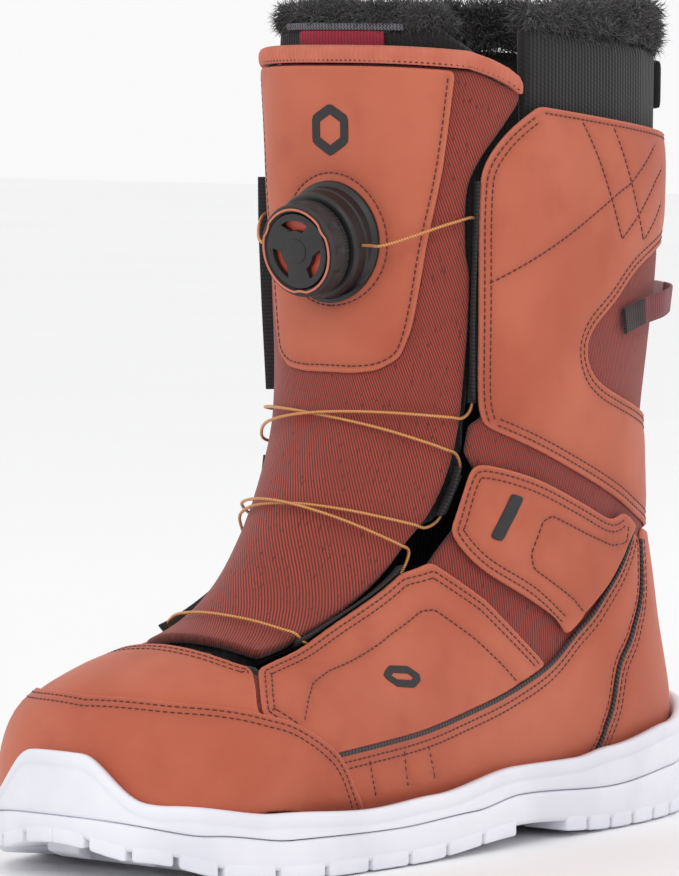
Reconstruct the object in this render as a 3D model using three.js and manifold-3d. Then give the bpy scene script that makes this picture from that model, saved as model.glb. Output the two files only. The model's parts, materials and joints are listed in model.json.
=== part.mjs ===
// Left snowboard boot with a dial lace reel: white cup sole, textile and leather shell,
// tilting tongue, cable lace, and a removable padded liner.
// Units are millimetres. +Z is up, the toe points to -Y and the outer side of the foot is +X.
import * as THREE from 'three';
import Module from 'manifold-3d';
import { mergeVertices } from 'three/addons/utils/BufferGeometryUtils.js';

const wasm = await Module();
wasm.setup();

// ---------------------------------------------------------------- driving dimensions
const FORM_LENGTH = 283;        // toe to heel of the shell's form
const FORM_HEIGHT = 262;        // ground to the front of the shaft
const FORM_WIDTH = 106;         // across the ball of the foot
const SOLE_MARGIN = 5;          // how far the sole stands out past the form
const GAP = 0.3;                // clearance between pieces that touch
const TEXTILE = 1.3;            // thickness of the textile shell
const LEATHER = 1.4;            // thickness of a leather panel
const LEATHER_FACE = 0.5;       // outer face of the first leather layer, from the form
const TONGUE_THICKNESS = 3.2;
const LINER_WALL = 5.3;
const LABEL = 0.8;              // room for the woven label on the liner's tongue
const LINER_GAP = 0.6;          // between the shell's inside and the liner
const LACE_RADIUS = 0.55;
const LACE_CLEARANCE = 0.5;     // between the lace and its guide's bore
const GUIDE_WALL = 0.6;
const DIAL_RADIUS = 15.4;
const DIAL_HEIGHT = 8.6;
const REEL_TILT = THREE.MathUtils.degToRad(9);
const REEL_STATION = 2.3;       // how far down the tongue the reel sits, in form stations
const LUG_HEIGHT = 5;
const PARTING_HEIGHT = 12.2;    // where tread and midsole meet under the foot
const FLOOR_THICKNESS = 2.3;    // of the midsole under the foot

// Depths from the form, outwards positive. Each layer follows from the one it lies on.
const TEXTILE_OUT = LEATHER_FACE - LEATHER - GAP;
const TEXTILE_IN = TEXTILE_OUT - TEXTILE;
const OVERLAY_IN = LEATHER_FACE + GAP;
const OVERLAY_OUT = OVERLAY_IN + LEATHER * 0.85;
const TRIM_IN = OVERLAY_OUT + GAP;
const TRIM_OUT = TRIM_IN + 0.8;
const CUP_IN = OVERLAY_OUT + GAP;
const TONGUE_OUT = LEATHER_FACE - LEATHER - GAP;
const TONGUE_IN = TONGUE_OUT - TONGUE_THICKNESS;
const LINER_OUT = TEXTILE_IN - LINER_GAP;
const LINER_IN = LINER_OUT - LINER_WALL;
const LINER_TONGUE_OUT = TONGUE_IN - LINER_GAP - LABEL;
const LINER_TONGUE_IN = LINER_TONGUE_OUT - LINER_WALL;

// ---------------------------------------------------------------- the form
// The shell is drawn on a form, as on a shoemaker's last. Each station is a fan section through
// the boot: its front point, its back point, half width, centre offset, where along it is widest,
// and how square its front and back are. Station 0 is the shaft's top and 14 lies under the toe.
const STATIONS = [
  { front: [-5, 262], back: [140, 246], half: 55, side: 0, widest: 0.50, square: [2.9, 2.6] },
  { front: [-4, 236], back: [139, 216], half: 55, side: 0, widest: 0.50, square: [2.8, 2.6] },
  { front: [-4, 208], back: [137, 186], half: 55, side: 0, widest: 0.50, square: [2.7, 2.6] },
  { front: [-4, 182], back: [134, 158], half: 54, side: 0, widest: 0.50, square: [2.6, 2.5] },
  { front: [-6, 160], back: [133, 130], half: 52, side: 0, widest: 0.50, square: [2.5, 2.4] },
  { front: [-12, 141], back: [138, 100], half: 50, side: 0, widest: 0.52, square: [2.4, 2.3] },
  { front: [-24, 123], back: [146, 64], half: 48, side: 0, widest: 0.55, square: [2.3, 2.4] },
  { front: [-39, 106], back: [153, 24], half: 46, side: 0, widest: 0.60, square: [2.2, 2.6] },
  { front: [-53, 92], back: [120, 15], half: 47, side: 1, widest: 0.65, square: [2.1, 3.2] },
  { front: [-67, 81], back: [60, 14], half: 49, side: 1, widest: 0.68, square: [2.1, 4.5] },
  { front: [-83, 74], back: [0, 14], half: 52, side: 0, widest: 0.66, square: [2.1, 5.5] },
  { front: [-101, 67], back: [-40, 14], half: 53, side: -2, widest: 0.60, square: [2.2, 5.5] },
  { front: [-118, 58], back: [-52, 15], half: 52, side: -4, widest: 0.60, square: [2.3, 5.0] },
  { front: [-127, 43], back: [-60, 16], half: 51, side: -5, widest: 0.67, square: [2.4, 4.0] },
  { front: [-130, 24], back: [-66, 17], half: 50, side: -5, widest: 0.76, square: [2.4, 4.0] },
];
const LAST_STATION = STATIONS.length - 1;
const GRADE = { x: FORM_WIDTH / 106, y: FORM_LENGTH / 283, z: FORM_HEIGHT / 262 };
const STEP_S = 1;               // station step of the form's facets
const STEP_V = 1 / 12;          // girth step of the form's facets; 0 is the front, 1 the back
const TOP_S = -2;               // the form runs on above the shaft's top for the liner

const flat = (st) => [...st.front, ...st.back, st.half, st.side, st.widest, ...st.square];
const ROWS = STATIONS.map(flat);

function stationAt(s) {
  if (s <= 0) return ROWS[0].map((value, k) => value + (ROWS[1][k] - value) * s);
  const i = Math.min(Math.floor(s), LAST_STATION - 1);
  const t = s - i;
  const before = ROWS[i - 1] ?? ROWS[0].map((value, k) => 2 * value - ROWS[1][k]);
  const after = ROWS[i + 2] ?? ROWS[i + 1].map((value, k) => 2 * value - ROWS[i][k]);
  return ROWS[i].map((value, k) => {
    const slope = (ROWS[i + 1][k] - before[k]) / 2;
    const nextSlope = (after[k] - value) / 2;
    const rise = ROWS[i + 1][k] - value;
    const a = slope + nextSlope - 2 * rise;
    const b = 3 * rise - 2 * slope - nextSlope;
    return ((a * t + b) * t + slope) * t + value;
  });
}

// Half of one fan section, as points spaced evenly along its girth from front to back.
function halfSection(s, count) {
  const [frontY, frontZ, backY, backZ, half, side, widest, squareFront, squareBack] = stationAt(s);
  const fine = [];
  const samples = 240;
  for (let k = 0; k <= samples; k += 1) {
    const angle = Math.PI * k / samples;
    const power = 2 / (angle < Math.PI / 2 ? squareFront : squareBack);
    const along = Math.sign(Math.cos(angle)) * Math.abs(Math.cos(angle)) ** power;
    const across = Math.sin(angle) ** power;
    const q = along > 0 ? widest * (1 - along) : widest - (1 - widest) * along;
    const y = frontY + (backY - frontY) * q;
    const z = frontZ + (backZ - frontZ) * q;
    fine.push(new THREE.Vector3(half * Math.max(across, 0) * GRADE.x, y * GRADE.y, z * GRADE.z));
  }
  const lengths = [0];
  for (let k = 1; k <= samples; k += 1) lengths.push(lengths[k - 1] + fine[k].distanceTo(fine[k - 1]));
  const total = lengths[samples];
  const points = [];
  let k = 0;
  for (let j = 0; j <= count; j += 1) {
    const target = total * j / count;
    while (k < samples - 1 && lengths[k + 1] < target) k += 1;
    const t = (target - lengths[k]) / (lengths[k + 1] - lengths[k]);
    points.push(fine[k].clone().lerp(fine[k + 1], t));
  }
  return { points, side: side * GRADE.x };
}

const GIRTH_CELLS = Math.round(1 / STEP_V);
const FORM = [];                // FORM[row][column]: {point, normal}; columns run from the back round by -v
for (let s = TOP_S; s <= LAST_STATION + 1e-6; s += STEP_S) {
  const { points, side } = halfSection(s, GIRTH_CELLS);
  const row = [];
  for (let j = -GIRTH_CELLS; j < GIRTH_CELLS; j += 1) {
    const p = points[Math.abs(j)];
    row.push({ point: new THREE.Vector3(side + Math.sign(j) * p.x, p.y, p.z), normal: null });
  }
  FORM.push(row);
}
const COLUMNS = 2 * GIRTH_CELLS;
FORM.forEach((row, i) => row.forEach((node, j) => {
  const up = FORM[Math.max(i - 1, 0)][j].point;
  const down = FORM[Math.min(i + 1, FORM.length - 1)][j].point;
  const left = row[(j + COLUMNS - 1) % COLUMNS].point;
  const right = row[(j + 1) % COLUMNS].point;
  node.normal = down.clone().sub(up).cross(right.clone().sub(left)).normalize();
}));

// The facet of the form under (s, v): its three grid nodes and their weights.
function facet(s, v) {
  const rowPlace = (s - TOP_S) / STEP_S;
  const columnPlace = v / STEP_V + GIRTH_CELLS;
  const i = Math.min(Math.max(Math.floor(rowPlace + 1e-9), 0), FORM.length - 2);
  const j = Math.floor(columnPlace + 1e-9);
  const a = rowPlace - i;
  const b = columnPlace - j;
  if (a + b <= 1) return [[i, j, 1 - a - b], [i + 1, j, a], [i, j + 1, b]];
  return [[i + 1, j + 1, a + b - 1], [i, j + 1, 1 - a], [i + 1, j, 1 - b]];
}

// A point in space from a station, a girth place (outer side positive) and a depth.
function place(s, v, depth) {
  const sum = new THREE.Vector3();
  for (const [i, j, weight] of facet(s, v)) {
    const node = FORM[i][((j % COLUMNS) + COLUMNS) % COLUMNS];
    sum.addScaledVector(node.point, weight).addScaledVector(node.normal, weight * depth);
  }
  return sum;
}

// ---------------------------------------------------------------- solids
function toSolid(geometry, matrix = new THREE.Matrix4()) {
  const bare = new THREE.BufferGeometry();
  bare.setAttribute('position', geometry.getAttribute('position').clone());
  bare.setIndex(geometry.getIndex());
  const merged = mergeVertices(bare, 1e-4);
  const corners = merged.getIndex().array;
  const triVerts = [];
  for (let k = 0; k < corners.length; k += 3) {
    const [a, b, c] = corners.slice(k, k + 3);
    if (a !== b && b !== c && c !== a) triVerts.push(a, b, c);
  }
  merged.applyMatrix4(matrix);
  const vertProperties = new Float32Array(merged.getAttribute('position').array);
  return new wasm.Manifold(new wasm.Mesh({ numProp: 3, vertProperties, triVerts: new Uint32Array(triVerts) }));
}

function toGeometry(solid) {
  const mesh = solid.getMesh();
  return fromTriangles(Array.from(mesh.vertProperties), Array.from(mesh.triVerts));
}

function fromTriangles(positions, index) {
  const geometry = new THREE.BufferGeometry();
  geometry.setAttribute('position', new THREE.Float32BufferAttribute(positions, 3));
  geometry.setIndex(index);
  geometry.computeVertexNormals();
  return geometry;
}

// Joins rings of equal, even length into one closed solid. Each end is capped by strips across
// the ring, from its first point to the one opposite. Solids that nest share one diagonal.
function loft(rings, otherDiagonal = false) {
  const count = rings[0].length;
  const positions = rings.flat().flatMap((p) => [p.x, p.y, p.z]);
  const index = [];
  for (let r = 0; r < rings.length - 1; r += 1) {
    for (let k = 0; k < count; k += 1) {
      const a = r * count + k;
      const b = r * count + (k + 1) % count;
      if (otherDiagonal) index.push(a, b, b + count, a, b + count, a + count);
      else index.push(a, b, a + count, b, b + count, a + count);
    }
  }
  const caps = [[0, 1, count - 1]];
  for (let k = 1; k < count / 2; k += 1) {
    caps.push([k, k + 1, count - k]);
    if (k + 1 < count / 2) caps.push([k + 1, count - k - 1, count - k]);
  }
  const last = (rings.length - 1) * count;
  for (const [a, b, c] of caps) {
    index.push(a, c, b);
    index.push(last + a, last + b, last + c);
  }
  return fromTriangles(positions, index);
}

// ---------------------------------------------------------------- panels cut to a pattern
const PATTERN_S = 18;           // millimetres of pattern per station
const PATTERN_V = 170;          // millimetres of pattern per half girth
const dome = (x, y) => (x * x + x * y + y * y) * 1e-3;   // keeps neighbouring facets out of plane

function curve(points, count) {
  const spline = new THREE.SplineCurve(points.map(([s, v]) => new THREE.Vector2(s, v)));
  return spline.getPoints(count).map((p) => [p.x, p.y]);
}

const mirrored = (outline) => outline.map(([s, v]) => [s, -v]).reverse();

// A slab of the form's own facets that covers the outline, cut to it and bent onto the form.
function panel(outline, inner, outer, holes = []) {
  const minS = Math.floor(Math.min(...outline.map((p) => p[0])) / STEP_S) * STEP_S;
  const maxS = Math.ceil(Math.max(...outline.map((p) => p[0])) / STEP_S) * STEP_S;
  const minV = Math.floor(Math.min(...outline.map((p) => p[1])) / STEP_V) - 1;
  const maxV = Math.ceil(Math.max(...outline.map((p) => p[1])) / STEP_V) + 1;
  const rows = Math.round((maxS - minS) / STEP_S) + 2;
  const columns = maxV - minV;
  const positions = [];
  for (const depth of [inner, outer]) {
    for (let i = 0; i <= rows; i += 1) {
      for (let j = 0; j <= columns; j += 1) {
        const x = (minS + (i - 1) * STEP_S) * PATTERN_S;
        const y = (minV + j) * STEP_V * PATTERN_V;
        positions.push(x, y, depth + dome(x, y));
      }
    }
  }
  const layer = (rows + 1) * (columns + 1);
  const at = (i, j) => i * (columns + 1) + j;
  const index = [];
  for (let i = 0; i < rows; i += 1) {
    for (let j = 0; j < columns; j += 1) {
      const [a, b, c, d] = [at(i, j), at(i + 1, j), at(i, j + 1), at(i + 1, j + 1)];
      index.push(a + layer, b + layer, c + layer, b + layer, d + layer, c + layer);
      index.push(a, c, b, b, c, d);
    }
  }
  const wall = (a, b) => index.push(a, b, b + layer, a, b + layer, a + layer);
  for (let i = 0; i < rows; i += 1) {
    wall(at(i, 0), at(i + 1, 0));
    wall(at(i + 1, columns), at(i, columns));
  }
  for (let j = 0; j < columns; j += 1) {
    wall(at(rows, j), at(rows, j + 1));
    wall(at(0, j + 1), at(0, j));
  }
  const toPattern = (points) => points.map(([s, v]) => new THREE.Vector2(s * PATTERN_S, v * PATTERN_V));
  const shape = new THREE.Shape(toPattern(outline));
  shape.holes = holes.map((hole) => new THREE.Path(toPattern(hole)));
  const cutter = new THREE.ExtrudeGeometry(shape, { depth: 400, bevelEnabled: false });
  cutter.translate(0, 0, -200);
  const cut = toSolid(fromTriangles(positions, index)).intersect(toSolid(cutter)).getMesh();
  const bent = [];
  for (let k = 0; k < cut.numVert; k += 1) {
    const [x, y, z] = cut.vertProperties.slice(3 * k, 3 * k + 3);
    const s = x / PATTERN_S;
    const v = y / PATTERN_V;
    let height = z;
    for (const [i, j, weight] of facet(s, v)) {
      height -= weight * dome((TOP_S + i * STEP_S) * PATTERN_S, (j - GIRTH_CELLS) * STEP_V * PATTERN_V);
    }
    const depth = Math.abs(height - inner) < Math.abs(height - outer) ? inner : outer;
    bent.push(...place(s, v, depth).toArray());
  }
  return fromTriangles(bent, Array.from(cut.triVerts));
}

// The whole form grown or shrunk by a depth, closed at its top and under the toe.
function formSolid(depth, fromS, toS) {
  const stations = [fromS];
  for (let s = (Math.floor(fromS / STEP_S) + 1) * STEP_S; s < toS; s += STEP_S) stations.push(s);
  stations.push(toS);
  const rings = stations.map((s) => {
    const ring = [];
    for (let j = COLUMNS; j > 0; j -= 1) ring.push(place(s, (j - GIRTH_CELLS) * STEP_V, depth));
    return ring;
  });
  return loft(rings, true);
}

// ---------------------------------------------------------------- scene helpers
const boot = new THREE.Group();

function add(name, geometry, color, roughness, metalness = 0, parent = boot) {
  const material = new THREE.MeshStandardMaterial({ color, roughness, metalness });
  const mesh = new THREE.Mesh(geometry, material);
  mesh.name = name;
  parent.add(mesh);
  return mesh;
}

const COLOR = {
  leather: 0xc46a50,
  textile: 0x9a4438,
  sole: 0xe9e9f0,
  black: 0x2d2a2c,
  fur: 0x1c1a1b,
  red: 0x9a1c34,
  lace: 0xd9a066,
  insert: 0xc0543a,
  grey: 0x66636a,
  foam: 0x3a383b,
};
const SIDES = [['lateral', (outline) => outline], ['medial', mirrored]];

// ---------------------------------------------------------------- upper
// Edges that two panels share are written once; each panel keeps half of SEAM away from them.
const SEAM = 0.006;
const RIM_V = 0.70;
const SHAFT_TOP = 0.45;
const PIPING = curve([[10.9, 0.49], [10.2, 0.492], [9.55, 0.497], [8.75, 0.492], [7.9, 0.495],
  [6.95, 0.517], [6.4, 0.575], [5.9, 0.635], [5.35, 0.69]], 24);
const COUNTER = curve([[8.4, 0.748], [7.8, 0.685], [6.95, 0.64], [6.45, 0.675], [6.0, 0.715],
  [5.4, 0.725]], 14);
const THROAT = curve([[4.6, 0.268], [5.4, 0.262], [6.1, 0.245], [6.8, 0.21], [8.35, 0.172],
  [9.65, 0.19], [10.2, 0.20]], 16);
const shifted = (points, ds, dv) => points.map(([s, v]) => [s + ds, v + dv]);

function textileOutline() {
  const throat = THROAT.filter(([s]) => s > 5.38);
  return [[SHAFT_TOP - 0.15, 1 - SEAM], [SHAFT_TOP - 0.15, 0.39], [0.8, 0.335], [1.2, 0.295], [2.5, 0.29],
    [4.5, 0.292], [4.72, 0.264], [5.12, 0.262], [5.35, 0.288], ...shifted(throat, 0, 0.028),
    [10.6, 0.12], [10.6, SEAM / 2], [12.2, SEAM / 2],
    [13.9, SEAM / 2], [13.9, 0.45], [12.9, RIM_V], [9, RIM_V + 0.03], [8.2, 0.76], [7.4, 0.80],
    [6.8, 0.88], [6.6, 1 - SEAM]];
}

function cuffOutline() {
  const leading = curve([[SHAFT_TOP, 0.37], [0.8, 0.31], [1.2, 0.268], [1.6, 0.256], [2.6, 0.258],
    [4.2, 0.272], [4.65, 0.288]], 12);
  const hem = curve([[4.7, 0.31], [4.8, 0.40], [4.92, 0.5], [5.05, 0.62], [5.15, 0.72],
    [5.15, 0.85], [5.1, 1 - SEAM]], 10);
  const notch = curve([[3.9, 1 - SEAM], [3.85, 0.8], [3.75, 0.62], [3.6, 0.54], [3.3, 0.508],
    [3.0, 0.517], [2.6, 0.57], [2.1, 0.64], [1.75, 0.75], [1.6, 0.88], [1.6, 1 - SEAM]], 18);
  return [...leading, ...hem, ...notch, [SHAFT_TOP, 1 - SEAM], [SHAFT_TOP, 0.7]];
}

function strapOutline() {
  return [...curve([[5.3, 0.275], [5.22, 0.30], [5.2, 0.40], [5.3, 0.52], [5.36, 0.60], [5.22, 0.645],
    [5.3, 0.69]], 10), [5.5, 0.664], [6.1, 0.60], [6.45, 0.55],
  ...curve([[6.85, 0.505], [6.72, 0.48], [6.65, 0.42], [6.55, 0.32], [6.3, 0.262], [6.05, 0.26],
    [5.4, 0.27]], 8)];
}

function quarterOutline() {
  const throat = THROAT.filter(([s]) => s >= 6.85);
  return [[7.35, 0.483], [6.9, 0.345], [6.72, 0.24], ...throat, [10.7, 0.265], [11.15, 0.325],
    [11.15, 0.482], ...shifted(PIPING, 0, -SEAM).filter(([s]) => s > 7.4)];
}

function foxingOutline() {
  const counter = shifted(COUNTER, 0, -SEAM);
  return [[11.15, 0.494], [11.3, 0.60], [11.15, RIM_V], [9, RIM_V + 0.03], ...counter,
    ...PIPING.slice().reverse()];
}

function vampOutline() {
  const half = [[10.28, 0.09], [10.3, 0.16], [10.25, 0.192], [10.7, 0.255], [11.2, 0.318], [11.25, 0.49],
    [11.35, 0.6], [11.2, RIM_V], [12.9, RIM_V], [13.9, 0.45], [13.95, 0.2]];
  return [[10.25, 0], ...half, [13.95, 0], ...mirrored(half)];
}

function toeCapOutline() {
  const side = curve([[12.05, 0], [11.85, 0.183], [11.25, 0.317], [10.95, 0.375], [10.8, 0.467],
    [10.85, 0.533], [11.0, 0.608], [11.05, RIM_V]], 14);
  const half = [...side, [12.9, RIM_V], [13.9, 0.45], [13.95, 0.2], [13.95, 0]];
  return [...half, ...mirrored(half).slice(1, -1)];
}

function counterOutline() {
  const half = [...shifted(COUNTER, 0, SEAM), [5.25, 0.745], [5.22, 0.88], [5.2, 1]];
  const base = [[6.65, 1], [6.85, 0.88], [7.45, 0.80], [8.2, 0.77]];
  const around = (points) => points.map(([s, v]) => [s, 2 - v]).reverse();
  return [...base, ...half, ...around(half).slice(1), ...around(base).slice(0, -1)];
}

function makeUpper() {
  for (const [side, turn] of SIDES) {
    add(`upper_textile_${side}`, panel(turn(textileOutline()), TEXTILE_IN, TEXTILE_OUT), COLOR.textile, 0.9);
    add(`cuff_${side}`, panel(turn(cuffOutline()), LEATHER_FACE - LEATHER, LEATHER_FACE), COLOR.leather, 0.55);
    add(`quarter_${side}`, panel(turn(quarterOutline()), LEATHER_FACE - LEATHER, LEATHER_FACE),
      COLOR.leather, 0.55);
    add(`foxing_${side}`, panel(turn(foxingOutline()), LEATHER_FACE - LEATHER, LEATHER_FACE),
      COLOR.leather, 0.55);
    add(`ankle_strap_${side}`, panel(turn(strapOutline()), OVERLAY_IN, OVERLAY_OUT), COLOR.leather, 0.55);
    const slot = [[5.5, 0.35], [5.5, 0.375], [6.15, 0.345], [6.15, 0.322]];
    add(`strap_bar_${side}`, panel(turn(slot), TRIM_IN, TRIM_OUT), COLOR.black, 0.5);
  }
  add('vamp', panel(vampOutline(), LEATHER_FACE - LEATHER, LEATHER_FACE), COLOR.leather, 0.55);
  add('toe_cap', panel(toeCapOutline(), OVERLAY_IN, OVERLAY_OUT), COLOR.leather, 0.55);
  add('heel_counter', panel(counterOutline(), LEATHER_FACE - LEATHER, LEATHER_FACE), COLOR.leather, 0.55);
}

// ---------------------------------------------------------------- tongue
const TONGUE_SIDE = [[0.12, 0.25], [0.24, 0.30], [0.36, 0.335], [0.8, 0.297], [1.2, 0.258], [1.6, 0.234],
  [2.3, 0.234], [2.6, 0.245], [4.5, 0.246], [5.4, 0.24], [6.1, 0.223], [6.8, 0.19], [8.35, 0.16],
  [9.7, 0.15]];
const PATCH_SIDE = [[0.14, 0.216], [1.35, 0.195], [2.3, 0.17], [3.4, 0.15], [3.85, 0.133], [4.08, 0.095],
  [4.15, 0.05]];
const BINDING_SIDE = [[-0.12, 0.25], [0.0, 0.30], [0.14, 0.335], [0.31, 0.335], [0.19, 0.30], [0.07, 0.25]];
const both = (half) => [...half, ...mirrored(half)];

function makeTongue() {
  add('tongue', panel(both(TONGUE_SIDE), TONGUE_IN, TONGUE_OUT), COLOR.textile, 0.9);
  add('tongue_patch', panel(both(PATCH_SIDE), LEATHER_FACE - LEATHER, LEATHER_FACE), COLOR.leather, 0.55);
  add('tongue_binding', panel(both(BINDING_SIDE), TONGUE_IN, LEATHER_FACE), COLOR.leather, 0.7);
}

// ---------------------------------------------------------------- lace reel
// The reel's local +Z is the dial's axis, with 0 where the axis meets the tongue patch.
const reel = new THREE.Group();
const FLOOR_TOP = 2.6;
const POST_RADIUS = 2.6;
const HOUSING_TOP = 8.4;
const HOUSING_RADIUS = DIAL_RADIUS + 2.6;
const FLANGE_RADIUS = HOUSING_RADIUS + 2;
const CORE_RADIUS = DIAL_RADIUS - 3.2;
const SPOOL_RADIUS = CORE_RADIUS - 0.4;
const BORE_CLEARANCE = 0.4;
const EXIT_HEIGHT = 5;          // of the lace above the tongue patch
const GRIP_BASE = HOUSING_TOP + 0.5;
const GRIP_TOP = GRIP_BASE + DIAL_HEIGHT;

const ring = (points, segments) => {
  const profile = points.map(([radius, height]) => new THREE.Vector2(radius, height));
  const lathe = new THREE.LatheGeometry([...profile, profile[0]], segments);
  return lathe.rotateX(Math.PI / 2);
};

function makeHousing() {
  const inner = CORE_RADIUS + BORE_CLEARANCE;
  const profile = [[0, -6], [FLANGE_RADIUS, -6], [FLANGE_RADIUS, 1.6], [FLANGE_RADIUS - 1, FLOOR_TOP],
    [HOUSING_RADIUS, FLOOR_TOP], [HOUSING_RADIUS, HOUSING_TOP - 0.8], [HOUSING_RADIUS - 0.8, HOUSING_TOP],
    [inner, HOUSING_TOP], [inner, FLOOR_TOP], [POST_RADIUS, FLOOR_TOP], [POST_RADIUS, HOUSING_TOP],
    [0, HOUSING_TOP]];
  const lathe = new THREE.LatheGeometry(profile.map(([r, h]) => new THREE.Vector2(r, h)), 24);
  lathe.rotateX(Math.PI / 2);
  let solid = toSolid(lathe, reel.matrixWorld);
  const bore = LACE_RADIUS + LACE_CLEARANCE;
  const exit = new THREE.CylinderGeometry(bore, bore, 60, 10).rotateZ(Math.PI / 2);
  exit.translate(0, 0, EXIT_HEIGHT);
  solid = solid.subtract(toSolid(exit, reel.matrixWorld));
  solid = solid.subtract(toSolid(formSolid(LEATHER_FACE + GAP, 0, 6)));
  return toGeometry(solid);
}

// A round outline with shallow finger grooves.
function grooved(radius, depth, grooves, count) {
  const points = [];
  for (let k = 0; k < count; k += 1) {
    const angle = 2 * Math.PI * k / count;
    const r = radius - depth * (0.5 + 0.5 * Math.cos(grooves * angle));
    points.push(new THREE.Vector2(r * Math.cos(angle), r * Math.sin(angle)));
  }
  return new THREE.Shape(points);
}

function ringHole(radius, count) {
  const path = new THREE.Path();
  path.absarc(0, 0, radius, 0, 2 * Math.PI, true);
  return new THREE.Path(path.getSpacedPoints(count).slice(0, -1));
}

const extrude = (shape, depth) => new THREE.ExtrudeGeometry(shape, { depth, bevelEnabled: false });

function makeDial() {
  const gripHole = CORE_RADIUS + 0.6;
  const grip = grooved(DIAL_RADIUS, 0.5, 16, 48);
  grip.holes = [ringHole(gripHole, 24)];
  add('dial_grip', extrude(grip, DIAL_HEIGHT), COLOR.black, 0.75, 0, reel).position.z = GRIP_BASE;

  const capRadius = gripHole - GAP;
  const cap = new THREE.Shape(ringHole(capRadius, 24).getPoints().reverse());
  for (let k = 0; k < 3; k += 1) {
    const middle = 2 * Math.PI * k / 3 + Math.PI / 2;
    const window = new THREE.Path();
    window.absarc(0, 0, CORE_RADIUS - 1.6, middle - 0.62, middle + 0.62, false);
    window.absarc(0, 0, CORE_RADIUS - 6, middle + 0.5, middle - 0.5, true);
    cap.holes.push(new THREE.Path(window.getPoints(4)));
  }
  add('dial_cap', extrude(cap, 2.4), COLOR.black, 0.4, 0, reel).position.z = GRIP_TOP - 1.8;
  const insert = ring([[0, 0], [capRadius, 0], [capRadius, 1], [0, 1]], 20);
  add('dial_insert', insert, COLOR.insert, 0.45, 0, reel).position.z = GRIP_TOP - 3.1;
  const rim = grooved(DIAL_RADIUS - 1, 0.5, 16, 48);
  rim.holes = [ringHole(gripHole + 0.3, 24)];
  add('dial_rim', extrude(rim, 0.4), COLOR.lace, 0.4, 0.6, reel).position.z = GRIP_TOP + GAP;
}

function makeReel() {
  const seat = place(REEL_STATION, 0, LEATHER_FACE);
  reel.position.copy(seat);
  reel.rotation.set(Math.PI / 2 + REEL_TILT, 0, 0);
  boot.add(reel);
  reel.updateMatrixWorld();
  add('reel_housing', makeHousing(), COLOR.black, 0.5);
  const bore = POST_RADIUS + BORE_CLEARANCE;
  const drum = SPOOL_RADIUS - 3.4;
  const spool = ring([[bore, 3], [SPOOL_RADIUS, 3], [SPOOL_RADIUS, 3.6], [drum, 4.2], [drum, 5.8],
    [SPOOL_RADIUS, 6.4], [SPOOL_RADIUS, 7], [bore, 7]], 20);
  add('lace_spool', spool, COLOR.grey, 0.5, 0, reel);
  const core = grooved(CORE_RADIUS, 0.9, 16, 48);
  core.holes = [ringHole(bore, 16)];
  add('dial_core', extrude(core, 2.2), COLOR.grey, 0.5, 0, reel).position.z = 7.3;
  const screwTop = GRIP_TOP - 3.7;
  const screw = ring([[0, HOUSING_TOP + GAP], [1.4, HOUSING_TOP + GAP], [1.4, screwTop - 0.8],
    [2.4, screwTop - 0.8], [2.4, screwTop], [0, screwTop]], 16);
  add('dial_screw', screw, COLOR.grey, 0.35, 0.9, reel);
  makeDial();
}

// ---------------------------------------------------------------- lace and its guides
const GUIDE_DEPTH = -3.1;
const GUIDES = { upper: [2.15, 4.35], middle: [5.45, 6.05], lower: [7.05, 8.8] };
const GUIDE_PATH = [[2, 0.262], [4.4, 0.268], [5.4, 0.262], [6.1, 0.245], [6.8, 0.212], [8.35, 0.182],
  [9.2, 0.182]];

function guideV(s) {
  const k = Math.max(1, GUIDE_PATH.findIndex(([key]) => s <= key));
  const [[s0, v0], [s1, v1]] = [GUIDE_PATH[k - 1], GUIDE_PATH[k]];
  return THREE.MathUtils.mapLinear(s, s0, s1, v0, v1);
}

const LACE_FACE = TONGUE_OUT + LACE_RADIUS + 1.4 * GRADE.y;
const LEAD = 0.1;                // how far the cable runs straight past a guide, in stations
const CROSSING_LIFT = 2 * LACE_RADIUS + 0.4;
const LACE_STEPS = Math.round(170 * Math.max(GRADE.x, GRADE.y, GRADE.z));
const ENTRY_DEPTH = LEATHER_FACE - LEATHER - GAP;   // of the lace where it goes in under the cuff
const guideSteps = (from, to) => Math.max(2, Math.round((to - from) * 2.5));

function guideLine(from, to, side, steps) {
  const points = [];
  for (let k = 0; k <= steps; k += 1) {
    const s = from + (to - from) * k / steps;
    points.push(place(s, side * guideV(s), GUIDE_DEPTH));
  }
  return points;
}

function tube(points, steps, outerRadius, sides, boreRadius) {
  const outline = (radius) => {
    const path = [];
    for (let k = 0; k < sides; k += 1) {
      const angle = 2 * Math.PI * k / sides;
      path.push(new THREE.Vector2(radius * Math.cos(angle), radius * Math.sin(angle)));
    }
    return path;
  };
  const shape = new THREE.Shape(outline(outerRadius));
  if (boreRadius) shape.holes = [new THREE.Path(outline(boreRadius))];
  const path = new THREE.CatmullRomCurve3(points, false, 'centripetal');
  return new THREE.ExtrudeGeometry(shape, { steps, extrudePath: path, bevelEnabled: false });
}

// One run across the tongue between two guides. Shares run from 1 at the guide to 0 midway.
function crossing(fromS, toS, side, lift) {
  const half = [[0.93, -0.6], [0.84, LACE_FACE + 0.7], [0.7, LACE_FACE + 0.6], [0.45, LACE_FACE + 0.4],
    [0.2, LACE_FACE]];
  const shares = [...half, [0, LACE_FACE], ...half.map(([share, depth]) => [-share, depth]).reverse()];
  return shares.map(([share, depth]) => {
    const s = fromS + (toS - fromS) * (1 - share) / 2;
    return place(s, side * share * guideV(s), depth + lift * (1 - Math.abs(share)));
  });
}

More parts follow.
